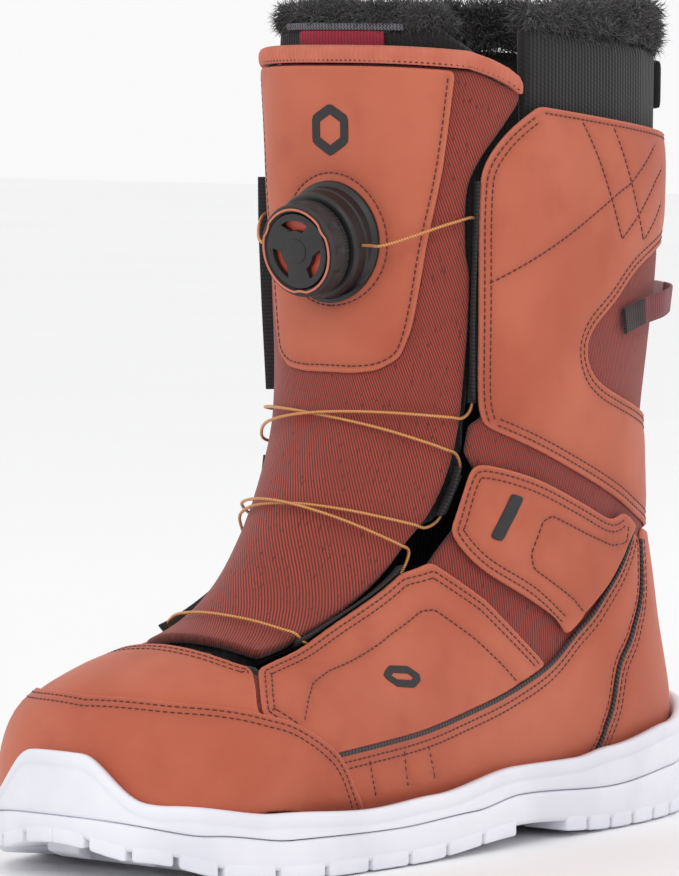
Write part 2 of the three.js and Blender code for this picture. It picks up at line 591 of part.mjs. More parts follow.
// The cable runs straight on a little way past each guide before it turns.
function laceRoute() {
  const exit = (side, distance) => reel.localToWorld(new THREE.Vector3(side * distance, 0, EXIT_HEIGHT));
  const through = (name, side) => {
    const [from, to] = GUIDES[name];
    return guideLine(from - LEAD, to + LEAD, side, guideSteps(from, to));
  };
  const upper = (side) => [exit(side, CORE_RADIUS + 0.8), exit(side, HOUSING_RADIUS + 2.5),
    exit(side, HOUSING_RADIUS + 8), place(1.95, side * 0.215, 1.2), place(1.88, side * 0.25, ENTRY_DEPTH),
    ...through('upper', side)];
  const half = (side, lift) => [...upper(side), ...crossing(4.6, 5.2, side, lift),
    ...through('middle', -side), ...crossing(6.3, 6.7, -side, lift), ...through('lower', side)];
  return [...half(1, CROSSING_LIFT), ...crossing(9.05, 9.05, 1, 0), ...half(-1, 0).reverse()];
}

function makeLace() {
  for (const [side, sign] of [['lateral', 1], ['medial', -1]]) {
    for (const [name, [from, to]] of Object.entries(GUIDES)) {
      const bore = LACE_RADIUS + LACE_CLEARANCE;
      const steps = guideSteps(from, to);
      const line = guideLine(from, to, sign, steps);
      add(`lace_guide_${name}_${side}`, tube(line, steps, bore + GUIDE_WALL, 8, bore), COLOR.black, 0.5);
    }
  }
  add('lace_cable', tube(laceRoute(), LACE_STEPS, LACE_RADIUS, 5, 0), COLOR.lace, 0.4, 0.5);
}

// ---------------------------------------------------------------- sole
const SOLE_SEGMENTS = 36;
const SOLE_SHAPE = [[-5, -132], [11, -130], [25, -124], [37.5, -111], [46.5, -93], [51.5, -70],
  [53.8, -40], [54, -10], [53, 20], [51.5, 50], [50, 80], [47, 107], [39.5, 130], [25, 148], [0, 157],
  [-25, 148], [-39.5, 130], [-47, 107], [-50, 80], [-51, 50], [-51.5, 20], [-52.5, -10], [-53.5, -40],
  [-53.5, -70], [-50.5, -93], [-45, -111], [-34, -124], [-21, -130]];
const soleCurve = new THREE.CatmullRomCurve3(
  SOLE_SHAPE.map(([x, y]) => new THREE.Vector3(x * GRADE.x, y * GRADE.y, 0)), true, 'centripetal');

function lookUp(pairs) {
  const spline = (y) => {
    const k = pairs.findIndex(([key]) => y < key);
    if (k === 0) return pairs[0][1];
    if (k < 0) return pairs[pairs.length - 1][1];
    const [y0, z0] = pairs[k - 1];
    const [y1, z1] = pairs[k];
    return z0 + (z1 - z0) * THREE.MathUtils.smoothstep(y, y0, y1);
  };
  return (p) => spline(p.y / GRADE.y);
}
// Heights along the boot, from the toe (y -137) to the heel (y 162).
const tread = lookUp([[-137, 16], [-126, 8], [-104, 2], [-84, 0], [-30, 0], [26, 3.5], [84, 0], [142, 0], [162, 5]]);
const crease = lookUp([[-137, 22], [-110, 16], [-85, 13], [-40, 12.5], [0, 14], [26, 17], [80, 14.5], [120, 17],
  [162, 26]]);
const rimBase = lookUp([[-137, 31], [-120, 26], [-90, 22], [-50, 20], [-19, 21.5], [25, 26.5], [60, 26], [80, 28],
  [120, 32], [162, 40]]);
const rim = (p) => {
  const across = Math.abs(p.x + SOLE_MARGIN * GRADE.x);
  const bumper = p.y < 0 ? 12 * (1 - THREE.MathUtils.smoothstep(across, 10, 30)) : 0;
  return rimBase(p) + bumper;
};

function soleRing(outset, height) {
  const ringPoints = [];
  for (let k = 0; k < SOLE_SEGMENTS; k += 1) {
    const t = k / SOLE_SEGMENTS;
    const p = soleCurve.getPointAt(t);
    const tangent = soleCurve.getTangentAt(t);
    const z = height(p);
    ringPoints.push(new THREE.Vector3(p.x + tangent.y * outset, p.y - tangent.x * outset, z));
  }
  return ringPoints;
}

function soleStack(levels, otherDiagonal = false) {
  return loft(levels.map(([outset, height]) => soleRing(outset, height)), otherDiagonal);
}

// Tread blocks: a row along each edge and broken bars between them.
function lugBlocks() {
  const blocks = [];
  const pitch = 15;
  for (let k = 0; k < 19; k += 1) {
    const y = (-128 + k * pitch) * GRADE.y;
    const arch = k > 8 && k < 12;
    for (const side of [-1, 1]) {
      blocks.push([side * 47 * GRADE.x, y, 26 * GRADE.x, arch ? 8 : 10]);
      if (!arch) blocks.push([side * 15 * GRADE.x, y + (k % 2) * 3, 22 * GRADE.x, 7]);
    }
  }
  return blocks;
}

function makeSole() {
  const lugRoot = (p) => tread(p) + LUG_HEIGHT;
  const waist = (p) => (lugRoot(p) + crease(p)) / 2;
  const parting = (p) => Math.max(Math.min(crease(p), PARTING_HEIGHT * GRADE.z), lugRoot(p) + 1.2);
  const slab = soleStack([[SOLE_MARGIN - 2.2, lugRoot], [SOLE_MARGIN, waist], [SOLE_MARGIN - 0.7, crease],
    [SOLE_MARGIN - 6, parting]]);
  let outsole = toSolid(slab);
  const lugLayer = toSolid(soleStack([[SOLE_MARGIN - 3, tread], [SOLE_MARGIN - 3, (p) => lugRoot(p) + 0.8]]));
  let lugs = null;
  for (const [x, y, width, depth] of lugBlocks()) {
    const block = new THREE.BoxGeometry(width, depth, 60).translate(x, y, 10);
    lugs = lugs ? lugs.add(toSolid(block)) : toSolid(block);
  }
  outsole = outsole.add(lugLayer.intersect(lugs));
  add('outsole', toGeometry(outsole), COLOR.sole, 0.6);

  const lift = (height, by) => (p) => height(p) + by;
  const bulge = (p) => (crease(p) + rim(p)) / 2;
  const cup = soleStack([[SOLE_MARGIN - 6, lift(parting, GAP)], [SOLE_MARGIN - 0.7, lift(crease, GAP)],
    [SOLE_MARGIN, bulge], [SOLE_MARGIN - 0.4, lift(rim, -1.6)], [SOLE_MARGIN - 1.6, rim]], true);
  const floor = lift(parting, GAP + FLOOR_THICKNESS * GRADE.z);
  const room = soleStack([[SOLE_MARGIN - 1, floor], [SOLE_MARGIN + 5, lift(rim, 9)]]);
  const cavity = toSolid(formSolid(CUP_IN, 2, LAST_STATION)).intersect(toSolid(room));
  add('midsole', toGeometry(toSolid(cup).subtract(cavity)), COLOR.sole, 0.6);

  const board = [[7.9, 0.84], [8.4, 0.79], [9.2, 0.77], [12.7, 0.77]];
  const far = board.map(([s, v]) => [s, 2 - v]).reverse();
  add('insole_board', panel([...board, ...far], TEXTILE_IN, TEXTILE_OUT), COLOR.foam, 0.8);
}

// ---------------------------------------------------------------- webbing loops
// A flat strap whose middle line runs through the points, wide across the form's girth or along it.
function ribbon(points, widthAt, normalAt, width, thickness) {
  const rings = points.map((p, k) => {
    const across = widthAt(k).clone().multiplyScalar(width / 2);
    const out = normalAt(k).clone().multiplyScalar(thickness / 2);
    const corner = (a, b) => p.clone().addScaledVector(across, a).addScaledVector(out, b);
    return [corner(-1, -1), corner(1, -1), corner(1, 1), corner(-1, 1)];
  });
  return loft(rings);
}

function loopAlong(places, width, thickness) {
  const points = places.map(([s, v, depth]) => place(s, v, depth));
  const normals = places.map(([s, v]) => place(s, v, 1).sub(place(s, v, 0)).normalize());
  const tangent = (k) => points[Math.min(k + 1, points.length - 1)].clone()
    .sub(points[Math.max(k - 1, 0)]).normalize();
  const widthAt = (k) => normals[k].clone().cross(tangent(k)).normalize();
  return ribbon(points, widthAt, (k) => tangent(k).cross(widthAt(k)).normalize(), width, thickness);
}

function makeLoops() {
  const half = [[2.8, 0.60, 0.2], [2.62, 0.65, 1.6], [2.45, 0.72, 4.4], [2.3, 0.82, 5.2], [2.22, 0.92, 5.2]];
  const far = half.map(([s, v, depth]) => [s, 2 - v, depth]).reverse();
  add('heel_pull_loop', loopAlong([...half, [2.2, 1, 5.2], ...far], 9, 1.2), COLOR.red, 0.8);
}

// ---------------------------------------------------------------- liner
const SLOT = [[-2, 0.35], [1, 0.35], [2.2, 0.30], [6, 0.30], [9.1, 0.235], [9.95, 0.2]];

function makeLiner() {
  const outer = toSolid(formSolid(LINER_OUT, -0.5, 13.5));
  const inner = toSolid(formSolid(LINER_IN, -2, 13));
  const slot = toSolid(panel(both(SLOT), LINER_IN - 6, 6));
  add('liner_boot', toGeometry(outer.subtract(inner).subtract(slot)), COLOR.foam, 0.85);

  const tongueHalf = [[-0.35, 0.2], [-0.1, 0.27], [5.9, 0.27], [6.7, 0.19], [9.0, 0.148], [9.7, 0.13]];
  add('liner_tongue', panel(both(tongueHalf), LINER_TONGUE_IN, LINER_TONGUE_OUT), COLOR.foam, 0.85);
  const label = both([[-0.3, 0.09], [0.1, 0.09]]);
  add('liner_label', panel(label, LINER_TONGUE_OUT + GAP, LINER_TONGUE_OUT + LABEL), COLOR.red, 0.6);
  const fur = both([[-0.62, 0.19], [-0.39, 0.23]]);
  add('liner_tongue_fur', panel(fur, LINER_TONGUE_IN - 2, LINER_TONGUE_OUT), COLOR.fur, 1);

  const collarHalf = [[-0.72, 0.36], [-0.85, 0.5], [-1.0, 0.7], [-1.1, 0.85]];
  const collarFar = collarHalf.map(([s, v]) => [s, 2 - v]).reverse();
  const collar = [[-0.53, 0.36], ...collarHalf, [-1.13, 1], ...collarFar, [-0.53, 1.64]];
  add('liner_fur_collar', panel(collar, LINER_IN - 3, LINER_OUT + 0.5), COLOR.fur, 1);
  const pad = [[-0.45, 0.82], [0.15, 0.82], [0.15, 1.18], [-0.45, 1.18]];
  add('liner_back_pad', panel(pad, LINER_OUT + GAP, LINER_OUT + 3.6), COLOR.foam, 0.9);
  const pull = [[-1.02, 1, 1.6], [-0.95, 1, 5], [-0.82, 1, 8], [-0.68, 1, 8.4], [-0.56, 1, 6], [-0.5, 1, 2]];
  const loop = pull.map(([s, v, depth]) => [s, v, LINER_OUT + depth]);
  add('liner_pull_loop', loopAlong(loop, 14, 1.2), COLOR.black, 0.8);

  const bed = [[8.3, 0.84], [9.2, 0.80], [12.2, 0.80]];
  const bedFar = bed.map(([s, v]) => [s, 2 - v]).reverse();
  add('footbed', panel([...bed, ...bedFar], LINER_IN - 3.6, LINER_IN - 0.6), COLOR.grey, 0.9);
}

makeUpper();
makeTongue();
makeReel();
makeLace();
makeSole();
makeLoops();
makeLiner();

// The origin is under the middle of the boot, on the ground.
const bounds = new THREE.Box3().setFromObject(boot);
const middle = bounds.getCenter(new THREE.Vector3());
boot.position.set(-middle.x, -middle.y, -bounds.min.z);

export default boot;
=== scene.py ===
# A left snowboard boot: a white rubber cup sole, a textile shell under leather panels, a tilting
# tongue with a dial lace reel, a copper cable lace, and a padded liner edged with fur.
import json
import math

import bpy
import numpy as np
from mathutils import Matrix, Vector
from mathutils.bvhtree import BVHTree
from mathutils.geometry import delaunay_2d_cdt


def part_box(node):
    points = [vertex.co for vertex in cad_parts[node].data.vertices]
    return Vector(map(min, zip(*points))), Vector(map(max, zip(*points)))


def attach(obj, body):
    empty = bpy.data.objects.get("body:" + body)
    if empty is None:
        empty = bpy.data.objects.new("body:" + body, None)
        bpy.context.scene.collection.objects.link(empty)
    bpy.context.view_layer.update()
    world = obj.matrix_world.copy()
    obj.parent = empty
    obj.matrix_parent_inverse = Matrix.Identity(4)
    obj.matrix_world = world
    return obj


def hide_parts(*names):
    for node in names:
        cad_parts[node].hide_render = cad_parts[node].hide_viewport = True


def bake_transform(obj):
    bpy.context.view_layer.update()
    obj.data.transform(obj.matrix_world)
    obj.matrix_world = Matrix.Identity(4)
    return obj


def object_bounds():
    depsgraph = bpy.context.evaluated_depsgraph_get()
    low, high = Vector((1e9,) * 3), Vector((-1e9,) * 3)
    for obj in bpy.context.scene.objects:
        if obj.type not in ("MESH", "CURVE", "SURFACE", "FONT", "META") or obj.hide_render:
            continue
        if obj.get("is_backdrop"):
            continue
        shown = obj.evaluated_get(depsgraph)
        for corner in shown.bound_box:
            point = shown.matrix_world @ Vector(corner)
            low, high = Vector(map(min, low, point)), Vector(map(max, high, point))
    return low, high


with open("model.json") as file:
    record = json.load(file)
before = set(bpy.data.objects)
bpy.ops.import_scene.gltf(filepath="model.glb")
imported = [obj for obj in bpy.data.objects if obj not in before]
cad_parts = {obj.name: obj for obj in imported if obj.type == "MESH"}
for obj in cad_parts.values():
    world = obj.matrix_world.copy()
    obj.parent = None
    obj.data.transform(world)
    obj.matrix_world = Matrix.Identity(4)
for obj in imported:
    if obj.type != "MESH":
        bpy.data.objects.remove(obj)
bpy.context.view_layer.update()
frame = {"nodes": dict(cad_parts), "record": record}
bpy.ops.object.select_all(action="DESELECT")

# ------------------------------------------------------------------------------------------ last
# The last is the foot and leg form that the boot is drawn and pulled over. Every panel is cut on it:
# s counts its stations down from the shaft's top, v runs round it from the front (0) to the back (1).
MM = 0.001
LAST = np.array([
    # front y, z, back y, z, half width, side, widest, square front, square back
    [-5, 262, 140, 246, 55, 0, 0.50, 2.9, 2.6],
    [-4, 236, 139, 216, 55, 0, 0.50, 2.8, 2.6],
    [-4, 208, 137, 186, 55, 0, 0.50, 2.7, 2.6],
    [-4, 182, 134, 158, 54, 0, 0.50, 2.6, 2.5],
    [-6, 160, 133, 130, 52, 0, 0.50, 2.5, 2.4],
    [-12, 141, 138, 100, 50, 0, 0.52, 2.4, 2.3],
    [-24, 123, 146, 64, 48, 0, 0.55, 2.3, 2.4],
    [-39, 106, 153, 24, 46, 0, 0.60, 2.2, 2.6],
    [-53, 92, 120, 15, 47, 1, 0.65, 2.1, 3.2],
    [-67, 81, 60, 14, 49, 1, 0.68, 2.1, 4.5],
    [-83, 74, 0, 14, 52, 0, 0.66, 2.1, 5.5],
    [-101, 67, -40, 14, 53, -2, 0.60, 2.2, 5.5],
    [-118, 58, -52, 15, 52, -4, 0.60, 2.3, 5.0],
    [-127, 43, -60, 16, 51, -5, 0.67, 2.4, 4.0],
    [-130, 24, -66, 17, 50, -5, 0.76, 2.4, 4.0],
])
tilt = next(joint for joint in frame["record"]["behaviour"]["joints"] if joint["name"] == "tongue_tilt")
last_origin = np.array(tilt["pos_m"]) - np.array([0.3, -77, 73.6]) * MM
ROW_STEP = 0.05
HALF_COLUMNS = 90


def station_at(s):
    s = np.asarray(s, float)
    rows = np.vstack([2 * LAST[0] - LAST[1], LAST, 2 * LAST[-1] - LAST[-2]])
    i = np.clip(np.floor(s).astype(int), 0, len(LAST) - 2)
    t = (s - i)[:, None]
    slope = (rows[i + 2] - rows[i]) / 2
    next_slope = (rows[i + 3] - rows[i + 1]) / 2
    rise = rows[i + 2] - rows[i + 1]
    bent = ((slope + next_slope - 2 * rise) * t + 3 * rise - 2 * slope - next_slope) * t * t
    straight = LAST[0] + (LAST[1] - LAST[0]) * s[:, None]
    return np.where(s[:, None] < 0, straight, bent + slope * t + rows[i + 1])


def last_sections(rows):
    front_y, front_z, back_y, back_z, half, side, widest, front, back = station_at(rows).T[:, :, None]
    angle = np.linspace(0, np.pi, 481)[None, :]
    power = np.where(angle < np.pi / 2, 2 / front, 2 / back)
    along = np.sign(np.cos(angle)) * np.abs(np.cos(angle)) ** power
    across = half * np.abs(np.sin(angle)) ** power
    share = np.where(along > 0, widest * (1 - along), widest - (1 - widest) * along)
    half_ring = np.stack([across, front_y + (back_y - front_y) * share,
                          front_z + (back_z - front_z) * share], axis=2)
    made = np.zeros((len(rows), 2 * HALF_COLUMNS, 3))
    for k, points in enumerate(half_ring):
        run = np.concatenate([[0], np.cumsum(np.linalg.norm(np.diff(points, axis=0), axis=1))])
        girth = np.linspace(0, run[-1], HALF_COLUMNS + 1)
        even_points = np.column_stack([np.interp(girth, run, points[:, axis]) for axis in range(3)])
        made[k, HALF_COLUMNS:] = even_points[:-1]
        made[k, :HALF_COLUMNS] = even_points[:0:-1] * [-1, 1, 1]
        made[k, :, 0] += side[k]
    return made


last_rows = np.arange(-1.6, 14.001, ROW_STEP)
last_points = last_sections(last_rows)
last_down = np.gradient(last_points, ROW_STEP, axis=0)
last_round = (np.roll(last_points, -1, axis=1) - np.roll(last_points, 1, axis=1)) * HALF_COLUMNS / 2
last_normals = np.cross(last_down, last_round)
last_normals /= np.linalg.norm(last_normals, axis=2, keepdims=True)


def read_last(grid, path):
    row = np.clip((path[:, 0] - last_rows[0]) / ROW_STEP, 0, len(last_rows) - 1.001)
    column = (path[:, 1] + 1) * HALF_COLUMNS
    i, j = np.floor(row).astype(int), np.floor(column).astype(int)
    a, b = (row - i)[:, None], (column - j)[:, None]
    wide = grid.shape[1]
    top = grid[i, j % wide] * (1 - b) + grid[i, (j + 1) % wide] * b
    return top * (1 - a) + (grid[i + 1, j % wide] * (1 - b) + grid[i + 1, (j + 1) % wide] * b) * a


def on_last(path, depth=0.0):
    depth = np.broadcast_to(np.asarray(depth, float), (len(path),))[:, None]
    return read_last(last_points, path) + read_last(last_normals, path) * depth


def to_frame(points):
    return np.asarray(points, float) * MM + last_origin


def spline(points, count):
    points = np.asarray(points, float)
    t = np.linspace(0, len(points) - 1, count + 1)
    i = np.minimum(t.astype(int), len(points) - 2)
    u = (t - i)[:, None]
    before, here, there = points[np.maximum(i - 1, 0)], points[i], points[i + 1]
    after = points[np.minimum(i + 2, len(points) - 1)]
    return 0.5 * (2 * here + (there - before) * u + (2 * before - 5 * here + 4 * there - after) * u * u
                  + (3 * here - before - 3 * there + after) * u ** 3)


def along_curve(points, step, closed=False):
    points = np.asarray(points, float)
    if closed:
        points = np.vstack([points, points[:1]])
    run = np.concatenate([[0], np.cumsum(np.linalg.norm(np.diff(points, axis=0), axis=1))])
    places = np.linspace(0, run[-1], max(3, round(run[-1] / step)) + 1)
    made = np.column_stack([np.interp(places, run, points[:, axis]) for axis in range(points.shape[1])])
    return made[:-1] if closed else made


def even(path, step, closed=False):
    path = np.asarray(path, float)
    if closed:
        path = np.vstack([path, path[:1]])
    shares = np.arange(12)[None, :, None] / 12
    dense = (path[:-1, None] + np.diff(path, axis=0)[:, None] * shares).reshape(-1, 2)
    dense = np.vstack([dense, path[-1:]])
    run = np.concatenate([[0], np.cumsum(np.linalg.norm(np.diff(on_last(dense), axis=0), axis=1))])
    places = np.linspace(0, run[-1], max(2, round(run[-1] / step)) + 1)
    made = np.column_stack([np.interp(places, run, dense[:, 0]), np.interp(places, run, dense[:, 1])])
    return made[:-1] if closed else made


def inset(path, distance, closed=False):
    points = on_last(path)
    if closed:
        heading = np.roll(points, -1, axis=0) - np.roll(points, 1, axis=0)
    else:
        heading = np.gradient(points, axis=0)
    heading /= np.linalg.norm(heading, axis=1, keepdims=True) + 1e-12
    step = np.cross(read_last(last_normals, path), heading) * distance
    down, around = read_last(last_down, path), read_last(last_round, path)
    dot = lambda a, b: np.sum(a * b, axis=1)
    size = dot(down, down) * dot(around, around) - dot(down, around) ** 2
    ds = (dot(down, step) * dot(around, around) - dot(around, step) * dot(down, around)) / size
    dv = (dot(down, down) * dot(around, step) - dot(down, around) * dot(down, step)) / size
    return path + np.column_stack([ds, dv])


def nearest(points, targets):
    found = np.full(len(points), 1e9)
    if len(targets) == 0:
        return found
    for start in range(0, len(points), 800):
        part = points[start:start + 800]
        apart = np.sum(part ** 2, 1)[:, None] + np.sum(targets ** 2, 1)[None] - 2 * part @ targets.T
        found[start:start + 800] = np.sqrt(np.maximum(apart.min(axis=1), 0))
    return found


def new_object(name, points, faces, smooth=True, uv=None, marks=None):
    mesh = bpy.data.meshes.new(name)
    mesh.from_pydata([tuple(p) for p in points], [], [tuple(map(int, face)) for face in faces])
    mesh.polygons.foreach_set("use_smooth", [smooth] * len(mesh.polygons))
    if uv is not None:
        layer = mesh.uv_layers.new(name="pattern")
        corners = np.zeros(len(mesh.loops), int)
        mesh.loops.foreach_get("vertex_index", corners)
        layer.data.foreach_set("uv", np.asarray(uv, float)[corners].ravel())
    for key, values in (marks or {}).items():
        mesh.attributes.new(key, "FLOAT", "POINT").data.foreach_set("value", np.asarray(values, float))
    made = bpy.data.objects.new(name, mesh)
    bpy.context.scene.collection.objects.link(made)
    return made


class Shade:
    """A value in a material's nodes. Expressions on values add its Math nodes."""

    def __init__(self, tree, socket=None):
        self.tree, self.socket = tree, socket

    def node(self, kind, settings=None, values=None, out=0):
        made = self.tree.nodes.new("ShaderNode" + kind)
        for key, value in (settings or {}).items():
            if key == "stops":
                while len(made.color_ramp.elements) < len(value):
                    made.color_ramp.elements.new(0.5)
                for element, (place, level) in zip(made.color_ramp.elements, value):
                    element.position, element.color = place, (*level, 1)
            else:
                setattr(made, key, value)
        for key, value in (values or {}).items():
            if isinstance(value, Shade):
                self.tree.links.new(value.socket, made.inputs[key])
            else:
                made.inputs[key].default_value = value
        return Shade(self.tree, made.outputs[out])

    def math(self, operation, *values):
        return self.node("Math", {"operation": operation}, dict(enumerate(values)))

    def __add__(self, other):
        return self.math("ADD", self, other)

    def __sub__(self, other):
        return self.math("SUBTRACT", self, other)

    def __mul__(self, other):
        return self.math("MULTIPLY", self, other)

    def __truediv__(self, other):
        return self.math("DIVIDE", self, other)

    def __pow__(self, other):
        return self.math("POWER", self, other)

    def __rsub__(self, other):
        return self.math("SUBTRACT", other, self)

    __radd__ = __add__
    __rmul__ = __mul__

    def between(self, low, high):
        return self.node("MapRange", {"interpolation_type": "SMOOTHSTEP"},
                         {0: self, 1: low, 2: high, 3: 0.0, 4: 1.0})

    def blend(self, first, second):
        return self.node("Mix", {"data_type": "RGBA"}, {0: self, 6: first, 7: second}, out=2)

    def noise(self, scale, detail=2.0, where=None):
        return self.node("TexNoise", {},
                         {"Vector": where or self.place(), "Scale": scale, "Detail": detail})

    def place(self):
        return self.node("TexCoord", {}, {}, out=3)

    def pattern(self):
        return self.node("UVMap", {"uv_map": "pattern"}, {})

    def mark(self, name):
        return self.node("Attribute", {"attribute_name": name}, {}, out=2)

    def bump(self, height, strength, distance):
        return self.node("Bump", {}, {"Height": height, "Strength": strength, "Distance": distance})


def tone(red, green, blue):
    level = lambda c: (c / 255 / 12.92) if c / 255 <= 0.04045 else ((c / 255 + 0.055) / 1.055) ** 2.4
    return (level(red), level(green), level(blue), 1.0)


def finish(name, mix, **fixed):
    """A material whose changing sockets come from mix(shade), and whose other sockets are fixed numbers."""
    made = bpy.data.materials.new(name)
    made.use_nodes = True
    tree = made.node_tree
    surface = tree.nodes["Principled BSDF"]
    for key, value in fixed.items():
        surface.inputs[key.replace("_", " ")].default_value = value
    for key, value in mix(Shade(tree)).items():
        if isinstance(value, Shade):
            tree.links.new(value.socket, surface.inputs[key])
        else:
            surface.inputs[key].default_value = value
    return made


def dress(piece, material, body="root", stands_for=()):
    piece.data.materials.clear()
    piece.data.materials.append(material)
    if body:
        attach(piece, body)
    if stands_for:
        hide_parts(*stands_for)
    return piece


# ------------------------------------------------------------------------------------------ sole
# A cup sole moulded in white rubber: an outsole with blocks along each edge and bars between them,
# and a midsole glued on it whose wall rises round the shell into a bumper at the toe.
SOLE_LINE = np.array([
    [-5, -132], [11, -130], [25, -124], [37.5, -111], [46.5, -93], [51.5, -70], [53.8, -40], [54, -10],
    [53, 20], [51.5, 50], [50, 80], [47, 107], [39.5, 130], [25, 148], [0, 157], [-25, 148],
    [-39.5, 130], [-47, 107], [-50, 80], [-51, 50], [-51.5, 20], [-52.5, -10], [-53.5, -40],
    [-53.5, -70], [-50.5, -93], [-45, -111], [-34, -124], [-21, -130]], float)
SOLE_STEPS = 420


def round_line(points, count):
    ring = np.vstack([points[-1:], points, points[:2]])
    made = []
    for k in range(len(points)):
        p = ring[k:k + 4]
        knots = np.concatenate([[0], np.cumsum(np.linalg.norm(np.diff(p, axis=0), axis=1) ** 0.5)])
        for t in np.linspace(knots[1], knots[2], 40, endpoint=False):
            a = [p[i] + (p[i + 1] - p[i]) * (t - knots[i]) / (knots[i + 1] - knots[i]) for i in range(3)]
            b = [a[i] + (a[i + 1] - a[i]) * (t - knots[i]) / (knots[i + 2] - knots[i]) for i in range(2)]
            made.append(b[0] + (b[1] - b[0]) * (t - knots[1]) / (knots[2] - knots[1]))
    made = np.array(made)
    run = np.concatenate([[0], np.cumsum(np.linalg.norm(np.diff(np.vstack([made, made[:1]]), axis=0),
                                                        axis=1))])
    places = np.linspace(0, run[-1], count, endpoint=False)
    closed = np.vstack([made, made[:1]])
    return np.column_stack([np.interp(places, run, closed[:, axis]) for axis in range(2)]), run[-1]


def ease(value, low, high):
    t = np.clip((value - low) / (high - low), 0, 1)
    return t * t * (3 - 2 * t)


def height_along(pairs, y):
    pairs = np.array(pairs, float)
    made = np.full(np.shape(y), pairs[0, 1])
    for (y0, z0), (y1, z1) in zip(pairs[:-1], pairs[1:]):
        made = np.where(y >= y0, z0 + (z1 - z0) * ease(y, y0, y1), made)
    return made


def tread_height(p):
    return height_along([(-137, 16), (-126, 8), (-104, 2), (-84, 0), (-30, 0), (26, 3.5), (84, 0),
                         (142, 0), (162, 5)], p[:, 1])


def crease_height(p):
    return height_along([(-137, 22), (-110, 16), (-85, 13), (-40, 12.5), (0, 14), (26, 17), (80, 14.5),
                         (120, 17), (162, 26)], p[:, 1])


def rim_height(p):
    base = height_along([(-137, 31), (-120, 26), (-90, 22), (-50, 20), (-19, 21.5), (25, 26.5),
                         (60, 26), (80, 28), (120, 32), (162, 40)], p[:, 1])
    bumper = 12 * (1 - ease(np.abs(p[:, 0] + 5), 10, 30))
    return base + np.where(p[:, 1] < 0, bumper, 0)


def block_root(p):
    return tread_height(p) + 5


def parting_height(p):
    return np.maximum(np.minimum(crease_height(p), 12.2), block_root(p) + 1.2)


sole_line, sole_length = round_line(SOLE_LINE, SOLE_STEPS)
sole_heading = np.roll(sole_line, -1, axis=0) - np.roll(sole_line, 1, axis=0)
sole_heading /= np.linalg.norm(sole_heading, axis=1, keepdims=True)
sole_out = np.column_stack([sole_heading[:, 1], -sole_heading[:, 0]])
if np.sum(sole_out[0] * (sole_line[0] - sole_line.mean(axis=0))) < 0:
    sole_out = -sole_out


def sole_ring(outset, height):
    flat = sole_line + sole_out * outset
    level = height(sole_line)
    return np.column_stack([flat, level])


def loft_rings(rings, cap_rows=(8, 8)):
    """Closed rings joined one to the next. Each end is drawn in to its middle by a few more rings."""
    rings = list(rings)
    if cap_rows[0]:
        first, middle = rings[0], rings[0].mean(axis=0)
        rings = [middle + (first - middle) * t for t in np.linspace(0.04, 1, cap_rows[0],
                                                                    endpoint=False)] + rings
    if cap_rows[1]:
        last, middle = rings[-1], rings[-1].mean(axis=0)
        rings += [middle + (last - middle) * t for t in np.linspace(1, 0.04, cap_rows[1] + 1)[1:]]
    count = len(rings[0])
    faces = []
    for r in range(len(rings) - 1):
        for k in range(count):
            a, b = r * count + k, r * count + (k + 1) % count
            faces.append((a, b, b + count, a + count))
    faces.append(tuple(range(count))[::-1])
    faces.append(tuple(range((len(rings) - 1) * count, len(rings) * count)))
    return np.vstack(rings), faces


def outward(piece):
    bpy.ops.object.select_all(action="DESELECT")
    bpy.context.view_layer.objects.active = piece
    piece.select_set(True)
    bpy.ops.object.mode_set(mode="EDIT")
    bpy.ops.mesh.select_all(action="SELECT")
    bpy.ops.mesh.normals_make_consistent(inside=False)
    bpy.ops.object.mode_set(mode="OBJECT")
    piece.select_set(False)
    return piece


def apply_modifier(piece, kind, **settings):
    made = piece.modifiers.new(kind.title(), kind)
    for key, value in settings.items():
        setattr(made, key, value)
    with bpy.context.temp_override(object=piece, active_object=piece, selected_objects=[piece]):
        bpy.ops.object.modifier_apply(modifier=made.name)
    return piece


def smooth_by_angle(piece, degrees=35):
    bpy.ops.object.select_all(action="DESELECT")
    bpy.context.view_layer.objects.active = piece
    piece.select_set(True)
    bpy.ops.object.shade_smooth_by_angle(angle=math.radians(degrees))
    piece.select_set(False)
    return piece


def white_rubber(s):
    broad = s.noise(26, 3)
    speck = s.noise(900, 2)
    colour = broad.between(0.35, 0.7).blend(tone(226, 226, 236), tone(238, 238, 245))
    return {"Base Color": colour, "Roughness": 0.42 + speck * 0.12,
            "Normal": s.bump(speck * 0.5 + broad * 0.5, 0.12, 0.0003)}


sole_rubber = finish("white_sole_rubber", white_rubber, Specular_IOR_Level=0.45)

midsole_wall = [(-1.0, lambda p: parting_height(p) + 0.3)]
for share, outset in [(0, 4.0), (0.03, 4.5), (0.10, 4.85), (0.3, 5.0), (0.55, 5.0), (0.8, 4.9)]:
    midsole_wall.append((outset, lambda p, t=share: crease_height(p) + 0.3
                         + (rim_height(p) - crease_height(p) - 6.2) * t))
for below, outset in [(5.6, 4.85), (5.1, 4.55), (4.7, 4.55), (4.2, 4.85), (2.2, 4.8), (1.0, 4.5),
                      (0.3, 4.0),
                      (0.0, 3.3)]:
    midsole_wall.append((outset, lambda p, t=below: rim_height(p) - t))
cup_out, cup_faces = loft_rings([sole_ring(outset, height) for outset, height in midsole_wall], (8, 0))
cup_faces.pop()
hollow = [sole_ring(1.4, lambda p: rim_height(p) - 0.1), sole_ring(0.2, lambda p: rim_height(p) - 5),
          sole_ring(-2.5, lambda p: parting_height(p) + 3.5),
          sole_ring(-8, lambda p: parting_height(p) + 2.4)]
count = SOLE_STEPS
inner, inner_faces = loft_rings(hollow, (0, 8))
inner_faces.pop(-2)
join = len(cup_out)
